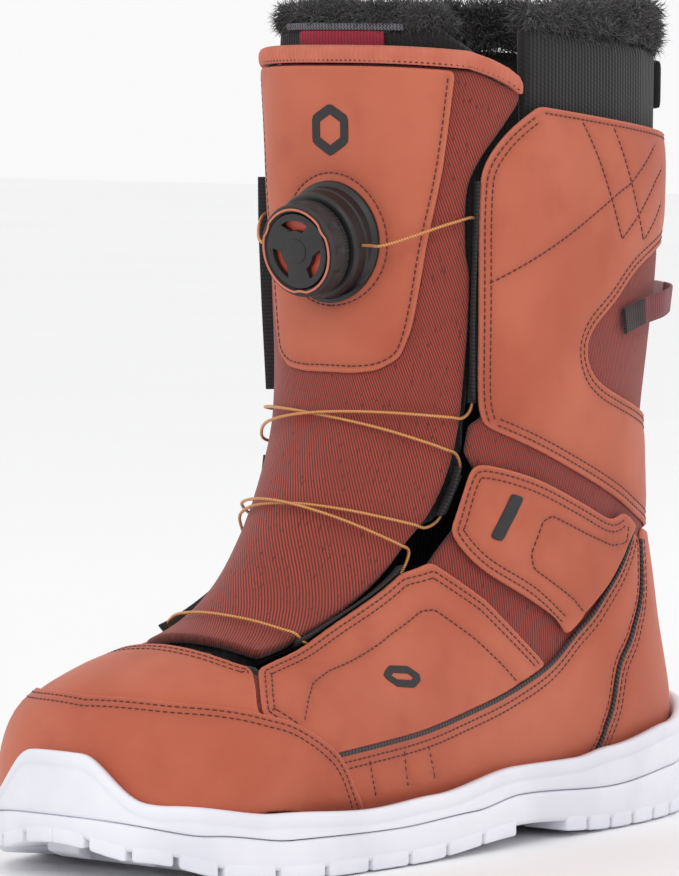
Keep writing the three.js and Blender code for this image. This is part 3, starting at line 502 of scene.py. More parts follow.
faces = cup_faces + [tuple(join + k for k in face) for face in inner_faces]
for k in range(count):
    a, b = join - count + k, join - count + (k + 1) % count
    faces.append((a, b, join + (k + 1) % count, join + k))
midsole = outward(new_object("midsole_cup", to_frame(np.vstack([cup_out, inner])), faces))
dress(midsole, sole_rubber, stands_for=["midsole"])

outsole_wall = [(4.0, lambda p: block_root(p) - 1.6)]
for share, outset in [(0.0, 4.7), (0.3, 4.9), (0.6, 5.0), (0.85, 4.9), (0.97, 4.5), (1.0, 3.9)]:
    outsole_wall.append((outset, lambda p, t=share: block_root(p) + (crease_height(p) - block_root(p)) * t))
outsole_wall.append((-1.0, parting_height))
slab, slab_faces = loft_rings([sole_ring(outset, height) for outset, height in outsole_wall])


def tread_block(mapping, size, bevel=1.1):
    """A bevelled block whose corners are then bent onto the sole by the mapping."""
    bpy.ops.mesh.primitive_cube_add(size=1)
    block = bpy.context.object
    block.data.transform(Matrix.Diagonal((*size, 1)))
    apply_modifier(block, "BEVEL", width=bevel, segments=2, limit_method="ANGLE")
    bpy.ops.object.mode_set(mode="EDIT")
    bpy.ops.mesh.select_all(action="SELECT")
    bpy.ops.mesh.subdivide(number_cuts=1)
    bpy.ops.object.mode_set(mode="OBJECT")
    points = mapping(np.array([tuple(vertex.co) for vertex in block.data.vertices]))
    faces = [tuple(polygon.vertices) for polygon in block.data.polygons]
    bpy.data.objects.remove(block)
    return points, faces


def edge_block(middle, width):
    """Along the sole's edge: x runs along it, y inwards, z up."""
    def mapping(p):
        place = ((middle + p[:, 0]) / sole_length * SOLE_STEPS) % SOLE_STEPS
        i = np.floor(place).astype(int) % SOLE_STEPS
        j, t = (i + 1) % SOLE_STEPS, (place - np.floor(place))[:, None]
        at = sole_line[i] * (1 - t) + sole_line[j] * t
        out = sole_out[i] * (1 - t) + sole_out[j] * t
        out /= np.linalg.norm(out, axis=1, keepdims=True)
        flat = at + out * (4.75 - width / 2 + p[:, 1:2])
        return np.column_stack([flat, tread_height(at) + 3.0 + p[:, 2]])
    return mapping


def bar_block(x, y):
    def mapping(p):
        flat = p[:, :2] + [x, y]
        return np.column_stack([flat, tread_height(flat) + 3.0 + p[:, 2]])
    return mapping


sole_points, sole_faces = [slab], list(slab_faces)
blocks = []
edge_run = 0.0
while edge_run < sole_length - 6:
    at_y = sole_line[int(edge_run / sole_length * SOLE_STEPS) % SOLE_STEPS][1]
    long_block = 17.5 if -112 < at_y < 15 else 12.0
    if at_y < 12 or at_y > 44:
        blocks.append((edge_block(edge_run + long_block / 2, 19), (long_block, 19, 6.0)))
    edge_run += long_block + 1.6
for k in range(19):
    y = -116 + k * 15
    if y < 8 or 44 < y < 138:
        for side in (-1, 1):
            wide = 22 if abs(y) < 112 else 14
            blocks.append((bar_block(side * 14 - 2, y + (k % 2) * 3), (wide, 7, 6.0)))
for mapping, size in blocks:
    points, block_faces = tread_block(mapping, size)
    start = sum(len(part) for part in sole_points)
    sole_points.append(points)
    sole_faces += [tuple(start + k for k in face) for face in block_faces]
outsole = outward(new_object("outsole_tread", to_frame(np.vstack(sole_points)), sole_faces))
dress(outsole, sole_rubber, stands_for=["outsole"])

board = frame["nodes"]["insole_board"]
board.data.materials.clear()
board.data.materials.append(finish("lasting_board", lambda s: {
    "Base Color": s.noise(300).blend(tone(120, 96, 70), tone(150, 124, 92)),
                                                               "Roughness": 0.9 - s.noise(900) * 0.1}))

# ----------------------------------------------------------------------------------------- shell
# The shell under the leather is a twill canvas in two halves, lasted over the board. It shows in
# the strips between the panels and inside the ankle notch.
SIDES = {"lateral": 1, "medial": -1}
THROAT = spline([(4.6, 0.268), (5.4, 0.262), (6.1, 0.245), (6.8, 0.21), (8.35, 0.172), (9.65, 0.19),
                 (10.2, 0.20)], 30)
TEXTILE_IN, TEXTILE_OUT = -2.5, -1.2
RINGS = (0.18, 0.45, 0.85, 1.4, 2.0, 2.7, 3.5, 4.2, 5.0, 6.4)
piece_edges = {}


def inside(path, points):
    found = np.zeros(len(points), bool)
    ends = np.roll(path, -1, axis=0)
    for (s0, v0), (s1, v1) in zip(path, ends):
        if s0 == s1:
            continue
        between = (s0 > points[:, 0]) != (s1 > points[:, 0])
        found ^= between & (points[:, 1] < (v1 - v0) * (points[:, 0] - s0) / (s1 - s0) + v0)
    return found


def cut_panel(name, outline, depths, rows=(), puff=0.5, edge=0.6, grid=3.2, soften=3, rings=RINGS):
    """A panel cut to the outline and pulled over the last: a rolled edge, and a dip along each sewn row."""
    path = even(outline, 1.3, closed=True)
    for _ in range(soften):
        path = path * 0.5 + (np.roll(path, 1, axis=0) + np.roll(path, -1, axis=0)) * 0.25
    turn = np.roll(path, -1, axis=0)
    if np.sum(path[:, 1] * -turn[:, 0] + turn[:, 1] * path[:, 0]) < 0:
        path = path[::-1]
    fine = on_last(even(path, 0.5, closed=True))
    loose = []
    for distance in rings:
        ring = inset(path, distance, closed=True)[:: 1 if distance < 5 else 2]
        loose.append(ring[nearest(on_last(ring), fine) > distance * 0.86])
    middle = np.array([path.mean(axis=0)])
    ds = grid / np.linalg.norm(read_last(last_down, middle))
    dv = grid / np.linalg.norm(read_last(last_round, middle))
    low, high = path.min(axis=0), path.max(axis=0)
    lattice = np.stack(np.meshgrid(np.arange(low[0], high[0], ds), np.arange(low[1], high[1], dv)),
                       axis=-1).reshape(-1, 2)
    lattice = lattice[inside(path, lattice)]
    lattice = lattice[nearest(on_last(lattice), fine) > rings[-1] + grid * 0.5]
    sewn = [even(row, 1.0) for row in rows]
    sewn = [row[inside(path, row)] for row in sewn]
    sewn = [row for row in sewn if len(row) > 2]
    sewn_points = np.vstack([on_last(row) for row in sewn]) if sewn else np.zeros((0, 3))
    if sewn:
        lattice = lattice[nearest(on_last(lattice), sewn_points) > 2.2]
        for row in sewn:
            for aside in (-1.6, -0.7, 0, 0.7, 1.6):
                near_row = inset(row, aside)[::2]
                near_row = near_row[inside(path, near_row)]
                loose.append(near_row[nearest(on_last(near_row), fine) > rings[-1] + 0.6])
    loose = np.vstack(loose + [lattice])
    loose = loose[inside(path, loose)]
    flat = np.vstack([path, loose]) * [-24, 200]
    made = delaunay_2d_cdt([Vector((v, s)) for s, v in flat], [], [list(range(len(path)))], 1, 1e-5, False)
    spots = np.array([(p.y / -24, p.x / 200) for p in made[0]])
    faces = np.array([list(face) for face in made[2]])
    faces = faces[inside(path, spots[faces].mean(axis=1))].tolist()
    used = np.unique(np.concatenate(faces))
    number = np.full(len(spots), -1)
    number[used] = np.arange(len(used))
    spots = spots[used]
    faces = [[number[k] for k in face] for face in faces]
    rim = nearest(on_last(spots), fine)
    rim[rim < 0.3] = np.maximum(rim[rim < 0.3] - 0.2, 0)
    seam = nearest(on_last(spots), sewn_points)
    inner, outer = depths
    height = surface_height(outer, rim, seam, puff, edge)
    points = np.vstack([on_last(spots, height), on_last(spots, inner)])
    count = len(spots)
    directed = {(face[k], face[(k + 1) % 3]) for face in faces for k in range(3)}
    walls = [(b, a, a + count, b + count) for a, b in directed if (b, a) not in directed]
    faces = faces + [[k + count for k in face[::-1]] for face in faces] + walls
    uv = np.vstack([spots, spots])[:, ::-1] * [0.2, -0.024]
    piece_edges[name] = (fine, path, outer, puff, edge)
    return new_object(name, to_frame(points), faces, uv=uv,
                      marks={"rim": np.exp(-np.tile(rim, 2) / 1.3),
                             "seam": np.exp(-np.tile(seam, 2) / 1.6)})


def surface_height(outer, rim, seam, puff, edge):
    roll = edge - np.sqrt(np.maximum(edge ** 2 - np.maximum(edge - rim, 0) ** 2, 0))
    swell = puff * (1 - np.exp(-(rim / 7) ** 2))
    dip = 0.22 * np.exp(-(seam / 0.8) ** 2) + 0.18 * np.exp(-(seam / 2.6) ** 2)
    return outer - roll + swell - dip


def twill(angle, light, dark):
    def mix(s):
        parts = s.node("SeparateXYZ", {}, {0: s.pattern()})
        across = parts * (math.cos(angle) / 0.00088)
        across = across + s.node("SeparateXYZ", {}, {0: s.pattern()}, out=1) * (math.sin(angle) / 0.00088)
        wander = s.noise(260, 1)
        line = (across * 6.2832 + wander * 2.2).math("SINE", across * 6.2832 + wander * 2.2) * 0.5 + 0.5
        turned = s.node("Mapping", {}, {"Vector": s.pattern(), "Rotation": (0, 0, angle),
                                        "Scale": (1250, 190, 1)})
        slub = s.noise(1.0, 2, turned)
        fleck = slub.between(0.60, 0.72)
        cloth = line.between(0.15, 0.75).blend(tone(*dark), tone(*light))
        cloth = (s.noise(90, 3).between(0.3, 0.75) * 0.35).blend(cloth, tone(*[c * 0.72 for c in light]))
        colour = (fleck * 0.75).blend(cloth, tone(72, 26, 24))
        colour = (s.mark("rim") * 0.5).blend(colour, tone(*[c * 0.55 for c in dark]))
        return {"Base Color": colour, "Roughness": 0.82 + line * 0.12,
                "Normal": s.bump(line * 0.7 + slub * 0.5, 0.55, 0.00025)}
    return mix


shell_twill = finish("shell_twill", twill(0.42, (166, 66, 54), (92, 30, 26)), Sheen_Weight=0.15)
textile_half = [(0.47, 0.994), (0.47, 0.385), (0.8, 0.335), (1.2, 0.295), (2.5, 0.29),
                (4.5, 0.292), (4.72, 0.264), (5.12, 0.262), (5.35, 0.288)]
textile_half += [(s, v + 0.028) for s, v in THROAT if s > 5.38] + [
    (10.6, 0.12), (10.6, 0.003), (12.2, 0.003), (13.9, 0.003), (13.9, 0.45), (12.9, 0.70), (9, 0.73),
                                                                   (8.2, 0.76),
    (7.4, 0.80), (6.8, 0.88), (6.6, 0.994)]
for side, sign in SIDES.items():
    shell = cut_panel(f"shell_canvas_{side}", np.array(textile_half) * [1, sign], (TEXTILE_IN, TEXTILE_OUT),
                      puff=0.0, edge=0.35, grid=4.5, soften=1, rings=(0.2, 0.5, 1.0, 3.5))
    dress(shell, shell_twill, stands_for=[f"upper_textile_{side}"])

# --------------------------------------------------------------------------------------- leather
# Matte full-grain leather panels: toe cap over vamp, quarters, foxing, cuffs and an ankle strap.
# Each has a rolled edge and is sewn with twin rows of dark red thread.
FACE_IN, FACE_OUT = -0.9, 0.5
OVER_IN, OVER_OUT = 0.8, 1.99
SEAM_V = 0.005
PIPING = spline([(10.9, 0.49), (10.2, 0.492), (9.55, 0.497), (8.75, 0.492), (7.9, 0.495), (6.95, 0.517),
                 (6.4, 0.575), (5.9, 0.635), (5.35, 0.69)], 48)
COUNTER = spline([(8.4, 0.748), (7.8, 0.685), (6.95, 0.64), (6.45, 0.675), (6.0, 0.715), (5.4, 0.725)], 30)


def leather_mix(s):
    broad = s.noise(17, 3)
    cloud = s.noise(58, 4)
    grain = s.node("TexVoronoi", {"feature": "SMOOTH_F1"}, {"Vector": s.place(), "Scale": 1150})
    fine = s.noise(2600, 2)
    crease = s.noise(150, 4).between(0.45, 0.62)
    colour = broad.between(0.3, 0.72).blend(tone(196, 104, 76), tone(180, 86, 58))
    colour = (cloud.between(0.48, 0.80) * 0.35).blend(colour, tone(160, 72, 50))
    colour = (s.mark("seam") * 0.35).blend(colour, tone(140, 62, 44))
    colour = (s.mark("rim").between(0.25, 0.95) * 0.45).blend(colour, tone(212, 118, 92))
    height = grain * 0.5 + fine * 0.35 + crease * 0.25
    return {"Base Color": colour, "Roughness": 0.50 + cloud * 0.14 + fine * 0.06,
            "Normal": s.bump(height, 0.16, 0.0003)}


leather = finish("grain_leather", leather_mix, Specular_IOR_Level=0.42, Sheen_Weight=0.06)
thread = finish("red_thread", lambda s: {
    "Base Color": s.noise(1800, 1).between(0.3, 0.7).blend(tone(58, 14, 8), tone(112, 36, 22)),
    "Roughness": 0.7 + s.noise(500) * 0.1}, Sheen_Weight=0.2)


def sew(name, rows, material, body, pitch=2.3, long=1.65, thick=0.27):
    """Sewn rows: (path, panel it lies on). Each stitch is a small rounded bar, half sunk in the panel."""
    ring = [(math.cos(2 * math.pi * k / 5), math.sin(2 * math.pi * k / 5)) for k in range(5)]
    along = [(-0.5, 0.45), (-0.34, 1.0), (0.34, 1.0), (0.5, 0.45)]
    points, faces = [], []
    for row, panel in rows:
        fine, outline, outer, puff, edge = piece_edges[panel]
        path = even(row, pitch)
        path = path[inside(outline, path) & (nearest(on_last(path), fine) > 0.6)]
        if len(path) < 2:
            continue
        places = on_last(path)
        height = surface_height(outer, nearest(places, fine), np.zeros(len(path)), puff, edge) + 0.10
        placed = on_last(path, height)
        normals = read_last(last_normals, path)
        for k in range(len(path) - 1):
            ahead = placed[k + 1] - placed[k]
            gap = np.linalg.norm(ahead)
            if gap > pitch * 1.8 or gap < 0.3:
                continue
            ahead /= gap
            side = np.cross(normals[k], ahead)
            side /= np.linalg.norm(side)
            up = np.cross(ahead, side)
            middle = (placed[k + 1] + placed[k]) / 2
            start = len(points)
            for share, size in along:
                for c, d in ring:
                    points.append(middle + ahead * share * long + (side * c + up * d) * size * thick)
            for j in range(3):
                for i in range(5):
                    a, b = start + j * 5 + i, start + j * 5 + (i + 1) % 5
                    faces.append((a, b, b + 5, a + 5))
            faces.append(tuple(range(start, start + 5))[::-1])
            faces.append(tuple(range(start + 15, start + 20)))
    made = new_object(name, to_frame(points), faces)
    return dress(made, material, body)


def beside(path, *distances):
    """Rows on both sides of a line. A panel keeps only what lies on it."""
    path = even(path, 1.2)
    return [inset(path, distance * side) for distance in distances for side in (1, -1)]


def twin_rows(path):
    return beside(path, 2.0, 4.2)


cuff_front = spline([(0.45, 0.37), (0.8, 0.31), (1.2, 0.268), (1.6, 0.256), (2.6, 0.258), (4.2, 0.272),
                     (4.65, 0.288)], 40)
cuff_hem = spline([(4.7, 0.31), (4.8, 0.40), (4.92, 0.5), (5.05, 0.62), (5.15, 0.72), (5.15, 0.85),
                   (5.1, 0.994)], 40)
cuff_notch = spline([(3.9, 0.994), (3.85, 0.8), (3.75, 0.62), (3.6, 0.54), (3.3, 0.508), (3.0, 0.517),
                     (2.6, 0.57), (2.1, 0.64), (1.75, 0.75), (1.6, 0.88), (1.6, 0.994)], 60)
cuff_outline = np.vstack([cuff_front, cuff_hem, cuff_notch, [(0.45, 0.994), (0.45, 0.7)]])
cuff_quilts = [spline([(2.65, .275), (1.40, .542), (1.15, .60), (.62, .69)], 30),
               np.array([(.55, .47), (1.0, .513), (1.40, .545), (1.82, .575), (1.50, .625), (1.05, .69),
                         (.9, .72)]),
               np.array([(.55, .552), (1.15, .60), (1.50, .625), (1.78, .645), (1.5, .69), (1.3, .72)])]
strap_outline = np.vstack([
    spline([(5.3, 0.275), (5.22, 0.30), (5.2, 0.40), (5.3, 0.52), (5.36, 0.60), (5.22, 0.645), (5.3, 0.69)],
           30),
    [(5.5, 0.664), (6.1, 0.60), (6.45, 0.55)],
    spline([(6.85, 0.505), (6.72, 0.48), (6.65, 0.42), (6.55, 0.32), (6.3, 0.262), (6.05, 0.26),
            (5.4, 0.27)], 30)])
strap_edge = np.vstack([spline([(6.80, 0.49), (6.65, 0.42), (6.55, 0.32), (6.3, 0.262), (6.05, 0.26),
                                (5.4, 0.27),
                                (5.22, 0.30), (5.2, 0.40), (5.3, 0.52), (5.36, 0.60), (5.24, 0.64)], 60)])
strap_window = [(5.35, .655), (5.55, .65), (5.66, .60), (5.65, .533), (5.60, .445), (5.70, .425),
                (6.15, .408),
                (6.30, .417), (6.42, .508), (6.52, .545)]
quarter_throat = THROAT[THROAT[:, 0] >= 6.85]
quarter_outline = np.vstack([[(7.35, 0.483), (6.9, 0.345), (6.72, 0.24)], quarter_throat,
                             [(10.7, 0.265), (11.15, 0.325), (11.15, 0.482)],
                             (PIPING - [0, SEAM_V])[PIPING[:, 0] > 7.4]])
quarter_edge = np.vstack([[(7.42, 0.49), (7.35, 0.483), (6.9, 0.345), (6.74, 0.245)], quarter_throat,
                          [(10.7, 0.265), (11.15, 0.325), (11.15, 0.40)]])
quarter_inner = [(10.75, .375), (10.3, .32), (9.95, .283), (9.5, .262), (8.2, .25), (7.55, .258),
                 (7.42, .275),
                 (7.6, .36), (8.0, .492)]
foxing_outline = np.vstack([[(11.15, 0.495), (11.3, 0.60), (11.15, 0.70), (9, 0.73)], COUNTER - [0, SEAM_V],
                            PIPING[::-1]])
toe_seam = spline([(12.05, 0), (11.85, 0.183), (11.25, 0.317), (10.95, 0.375), (10.8, 0.467),
                   (10.85, 0.533),
                   (11.0, 0.608), (11.05, 0.70)], 50)
toe_half = np.vstack([toe_seam, [(12.9, 0.70), (13.9, 0.45), (13.95, 0.2), (13.95, 0)]])
vamp_half = np.array([(10.25, 0), (10.28, 0.09), (10.3, 0.16), (10.25, 0.192), (10.7, 0.255), (11.2, 0.318),
                      (11.25, 0.49), (11.35, 0.6), (11.2, 0.70), (12.9, 0.70), (13.9, 0.45), (13.95, 0.2),
                      (13.95, 0)])
counter_half = np.vstack([[(6.65, 1), (6.85, 0.88), (7.45, 0.80), (8.2, 0.77)], COUNTER + [0, SEAM_V],
                          [(5.25, 0.745), (5.22, 0.88), (5.2, 1)]])


def both_sides(half):
    half = np.asarray(half, float)
    return np.vstack([half, half[-2:0:-1] * [1, -1]])


def round_heel(half):
    return np.vstack([half, half[-2:0:-1] * [1, -1] + [0, 2]])


vamp_throat = [(10.4, -0.215), (10.25, -0.192), (10.3, -0.16), (10.28, -0.09), (10.25, 0), (10.28, 0.09),
               (10.3, 0.16), (10.25, 0.192), (10.4, 0.215)]
rows = twin_rows(spline(vamp_throat, 50))
vamp = cut_panel("vamp_leather", both_sides(vamp_half), (FACE_IN, FACE_OUT), rows, puff=0.2, grid=3.4)
dress(vamp, leather, stands_for=["vamp"])
sewn_rows = {"lateral": [(row, "vamp_leather") for row in rows], "medial": []}

toe_line = np.vstack([toe_seam[::-1] * [1, -1], toe_seam[1:]])
rows = twin_rows(toe_line)
toe = cut_panel("toe_cap_leather", both_sides(toe_half), (OVER_IN, OVER_OUT), rows, puff=0.25, edge=0.7)
dress(toe, leather, stands_for=["toe_cap"])
sewn_rows["lateral"] += [(row, "toe_cap_leather") for row in rows]

rows = twin_rows(COUNTER + [0, SEAM_V])
rows += [row * [1, -1] + [0, 2] for row in rows]
heel = cut_panel("heel_counter_leather", round_heel(counter_half), (FACE_IN, FACE_OUT), rows, puff=0.3)
dress(heel, leather, stands_for=["heel_counter"])
sewn_rows["lateral"] += [(row, "heel_counter_leather") for row in rows]

for side, sign in SIDES.items():
    turn = np.array([1, sign])

    def sewn_panel(name, outline, depths, sewn, node, puff=0.4, **more):
        sewn = [np.asarray(row, float) * turn for row in sewn]
        made = cut_panel(f"{name}_{side}", outline * turn, depths, sewn, puff=puff, **more)
        dress(made, leather, stands_for=[f"{node}_{side}"])
        sewn_rows[side] += [(row, f"{name}_{side}") for row in sewn]

    rows = twin_rows(cuff_front[2:]) + twin_rows(cuff_hem) + twin_rows(cuff_notch)
    rows += cuff_quilts + beside([(0.45, 0.38), (0.45, 0.7), (0.45, 0.99)], 2.0)
    sewn_panel("cuff_leather", cuff_outline, (FACE_IN, FACE_OUT), rows, "cuff", 0.7)
    rows = twin_rows(strap_edge[::-1]) + [np.array(strap_window)]
    sewn_panel("ankle_strap_leather", strap_outline, (OVER_IN, OVER_OUT), rows, "ankle_strap", 0.5,
               edge=0.7)
    side_rows = [spline(line, 12) for line in ([(10.45, .525), (10.62, .58), (10.75, .633)],
                                               [(9.95, .525), (10.15, .58), (10.30, .633)],
                                               [(9.65, .533), (9.80, .58), (9.95, .633)])]
    rows = twin_rows(quarter_edge) + [np.array(quarter_inner)]
    sewn_panel("quarter_leather", quarter_outline, (FACE_IN, FACE_OUT), rows, "quarter")
    rows = beside(PIPING, 2.8, 5.0) + beside(COUNTER, 2.8) + side_rows
    sewn_panel("foxing_leather", foxing_outline, (FACE_IN, FACE_OUT), rows, "foxing")

for side, rows in sewn_rows.items():
    sew(f"panel_stitching_{side}", rows, thread, "root")

# ---------------------------------------------------------------------------------------- piping
# Dark woven piping is caught in the side seams and the back seam, black bars are welded to the strap, and a
# plain black badge is printed on the quarter.


def tube_along(points, radius, sides=10, flat=1.0, up=None):
    """A round cord along points in millimetres. Its map runs along it in metres and once around."""
    points = np.asarray(points, float)
    heading = np.gradient(points, axis=0)
    heading /= np.linalg.norm(heading, axis=1, keepdims=True)
    side = np.cross(heading[0], [0.3, 0.2, 1.0]) if up is None else np.cross(heading[0], up[0])
    rings = []
    for k in range(len(points)):
        if up is not None:
            side = np.cross(heading[k], up[k])
        side = side - heading[k] * np.dot(side, heading[k])
        side /= np.linalg.norm(side)
        above = np.cross(side, heading[k])
        angles = np.linspace(0, 2 * np.pi, sides, endpoint=False)
        rim = np.cos(angles)[:, None] * side + flat * np.sin(angles)[:, None] * above
        rings.append(points[k] + radius * rim)
    faces = []
    for r in range(len(rings) - 1):
        for k in range(sides):
            a, b = r * sides + k, r * sides + (k + 1) % sides
            faces.append((a, a + sides, b + sides, b))
    faces.append(tuple(range(sides)))
    faces.append(tuple(range((len(rings) - 1) * sides, len(rings) * sides))[::-1])
    run = np.concatenate([[0], np.cumsum(np.linalg.norm(np.diff(points, axis=0), axis=1))]) * MM
    around = np.abs(np.linspace(-1, 1, sides, endpoint=False))
    uv = np.array([(length, turn) for length in run for turn in around])
    return np.vstack(rings), faces, uv


def gather(parts):
    points, faces, maps, start = [], [], [], 0
    for part_points, part_faces, part_map in parts:
        points.append(part_points)
        maps.append(part_map)
        faces += [tuple(start + k for k in face) for face in part_faces]
        start += len(part_points)
    return np.vstack(points), faces, np.vstack(maps)


def woven(light, dark, pitch):
    def mix(s):
        u = s.node("SeparateXYZ", {}, {0: s.pattern()})
        around = s.node("SeparateXYZ", {}, {0: s.pattern()}, out=1)
        wave = (u * (6.2832 / pitch) + around * 5.0)
        wave = wave.math("SINE", wave) * 0.5 + 0.5
        colour = wave.between(0.3, 0.9).blend(tone(*dark), tone(*light))
        return {"Base Color": colour, "Roughness": 0.62 + wave * 0.15, "Normal": s.bump(wave, 0.6, 0.0003)}
    return mix


piping_weave = finish("piping_weave", woven((74, 64, 66), (30, 24, 26), 0.0016), Sheen_Weight=0.1)
bar_rubber = finish("bar_rubber", lambda s: {
    "Base Color": s.noise(120).blend(tone(34, 31, 33), tone(52, 48, 50)),
                                             "Roughness": 0.55 + s.noise(700) * 0.15,
    "Normal": s.bump(s.noise(1500, 2), 0.2, 0.0002)})
back_rows = [(0.5, 5.2, -1.85, 0.9), (0.5, 1.55, -0.2, 0.8), (3.95, 5.05, -0.2, 0.8)]
back_cords = []
for start, end, depth, radius in back_rows:
    back = even(np.column_stack([np.linspace(start, end, 40), np.full(40, 1.0)]), 1.4)
    back_cords.append(tube_along(on_last(back, depth), radius))
points, faces, uv = gather(back_cords)
dress(new_object("back_seam_cord", to_frame(points), faces, uv=uv), piping_weave)
for side, sign in SIDES.items():
    turn = np.array([1, sign])
    cords = []
    for line in (PIPING, COUNTER):
        path = even(line * turn, 1.4)
        cords.append(tube_along(on_last(path, FACE_OUT - 0.1), 0.75))
    points, faces, uv = gather(cords)
    dress(new_object(f"seam_piping_{side}", to_frame(points), faces, uv=uv), piping_weave)
    bar = cut_panel(f"strap_bar_{side}_welded", np.array([(5.5, 0.35), (5.5, 0.375), (6.15, 0.345),
                    (6.15, 0.322)]) * turn, (OVER_OUT + 0.35, OVER_OUT + 1.1), puff=0.1, edge=0.3, grid=1.6,
                    soften=1, rings=(0.2, 0.5, 1.0))
    dress(bar, bar_rubber, stands_for=[f"strap_bar_{side}"])


def hexagon(s, v, size, turn=0.0):
    middle = np.array([[s, v]])
    ds = 1 / np.linalg.norm(read_last(last_down, middle))
    dv = 1 / np.linalg.norm(read_last(last_round, middle))
    corners = [(s + ds * size * math.cos(turn + k * math.pi / 3),
                v + dv * size * math.sin(turn + k * math.pi / 3))
               for k in range(6)]
    return np.array(corners)


def flat_ring(path, width, low, high, step=0.8):
    """A closed flat band centred on the path, lying on the last between two depths."""
    path = even(path, step, closed=True)
    corners = [(width / 2, low), (width / 2, high), (-width / 2, high), (-width / 2, low)]
    rings = [on_last(inset(path, aside, closed=True), depth) for aside, depth in corners]
    count = len(path)
    points = np.stack(rings, axis=1).reshape(-1, 3)
    faces = []
    for k in range(count):
        for c in range(4):
            a, b = k * 4 + c, k * 4 + (c + 1) % 4
            faces.append((a, b, (b + 4) % (4 * count), (a + 4) % (4 * count)))
    return points, faces


print_ink = finish("badge_ink", lambda s: {
    "Base Color": s.noise(400, 3).blend(tone(30, 27, 29), tone(50, 45, 47)),
                                           "Roughness": 0.62 + s.noise(900) * 0.1})
for side, sign in SIDES.items():
    points, faces = flat_ring(hexagon(8.9, 0.34 * sign, 5.6, 0.35), 2.6, FACE_OUT + 0.22, FACE_OUT + 0.62)
    badge = outward(new_object(f"quarter_badge_{side}", to_frame(points), faces, smooth=False))
    dress(badge, print_ink)

# ----------------------------------------------------------------------------------------- loops
# The heel pull is one strap of maroon webbing with a pale woven back. It stands off the notch and is
# tacked at both ends.


def strap_along(points, outs, width, thick, step=0.9):
    """A flat strap of webbing with rounded edges. Its map runs along it and across it, in metres."""
    line = np.hstack([points, outs])
    line = spline(line, 12 * (len(points) - 1))
    line = along_curve(line, step)
    middle, out = line[:, :3], line[:, 3:]
    heading = np.gradient(middle, axis=0)
    heading /= np.linalg.norm(heading, axis=1, keepdims=True)
    side = np.cross(out, heading)
    side /= np.linalg.norm(side, axis=1, keepdims=True)
    up = np.cross(heading, side)
    section = [(-0.5, -0.3), (-0.46, -0.5), (-0.2, -0.5), (0.2, -0.5), (0.46, -0.5), (0.5, -0.3),
               (0.5, 0.3),
               (0.46, 0.5), (0.2, 0.5), (-0.2, 0.5), (-0.46, 0.5), (-0.5, 0.3)]
    rings = [middle + side * a * width + up * b * thick for a, b in section]
    points = np.stack(rings, axis=1).reshape(-1, 3)
    n, m = len(section), len(middle)
    faces = []
    for r in range(m - 1):
        for k in range(n):
            a, b = r * n + k, r * n + (k + 1) % n
            faces.append((a, a + n, b + n, b))
    faces += [tuple(range(n)), tuple(range((m - 1) * n, m * n))[::-1]]
    run = np.concatenate([[0], np.cumsum(np.linalg.norm(np.diff(middle, axis=0), axis=1))]) * MM
    uv = np.array([(length, a * width * MM) for length in run for a, _ in section])
    return points, faces, uv


def webbing(light, dark):
    def mix(s):
        u = s.node("SeparateXYZ", {}, {0: s.pattern()}) * (6.2832 / 0.0013)
        w = s.node("SeparateXYZ", {}, {0: s.pattern()}, out=1) * (6.2832 / 0.0010)
        weave = u.math("SINE", u + w.math("SINE", w) * 1.2) * 0.5 + 0.5
        colour = weave.between(0.1, 0.9).blend(tone(*dark), tone(*light))
        colour = (s.noise(200, 3) * 0.3).blend(colour, tone(*dark))
        return {"Base Color": colour, "Roughness": 0.78 + weave * 0.1, "Normal": s.bump(weave, 0.5, 0.0003)}
    return mix


black_webbing = finish("black_webbing", webbing((70, 66, 70), (24, 22, 25)), Sheen_Weight=0.2)
half = [(2.8, 0.60, 0.7), (2.7, 0.63, 1.1), (2.6, 0.66, 2.2), (2.45, 0.72, 4.4), (2.3, 0.82, 5.2),
        (2.22, 0.92, 5.2)]
route = np.array(half + [(2.2, 1, 5.2)] + [(s, 2 - v, depth) for s, v, depth in half[::-1]])
pull = strap_along(on_last(route[:, :2], route[:, 2]), read_last(last_normals, route[:, :2]), 9, 1.2)
pull_length = float(pull[2][:, 0].max())


def pull_weave(s):
    """Maroon webbing, with a pale woven back and a dark tack across each end."""
    made = webbing((150, 52, 60), (86, 24, 32))(s)
    u = s.node("SeparateXYZ", {}, {0: s.pattern()}) * (1 / pull_length)
    middle = (u - 0.5) * (u - 0.5)
    made["Base Color"] = middle.between(0.041, 0.038).blend(made["Base Color"], tone(226, 224, 226))
    made["Base Color"] = middle.between(0.186, 0.189).blend(made["Base Color"], tone(40, 14, 18))
    return made


heel_pull = outward(new_object("heel_pull_strap", to_frame(pull[0]), pull[1], uv=pull[2]))
dress(heel_pull, finish("maroon_webbing", pull_weave, Sheen_Weight=0.2),
      stands_for=["heel_pull_loop"])

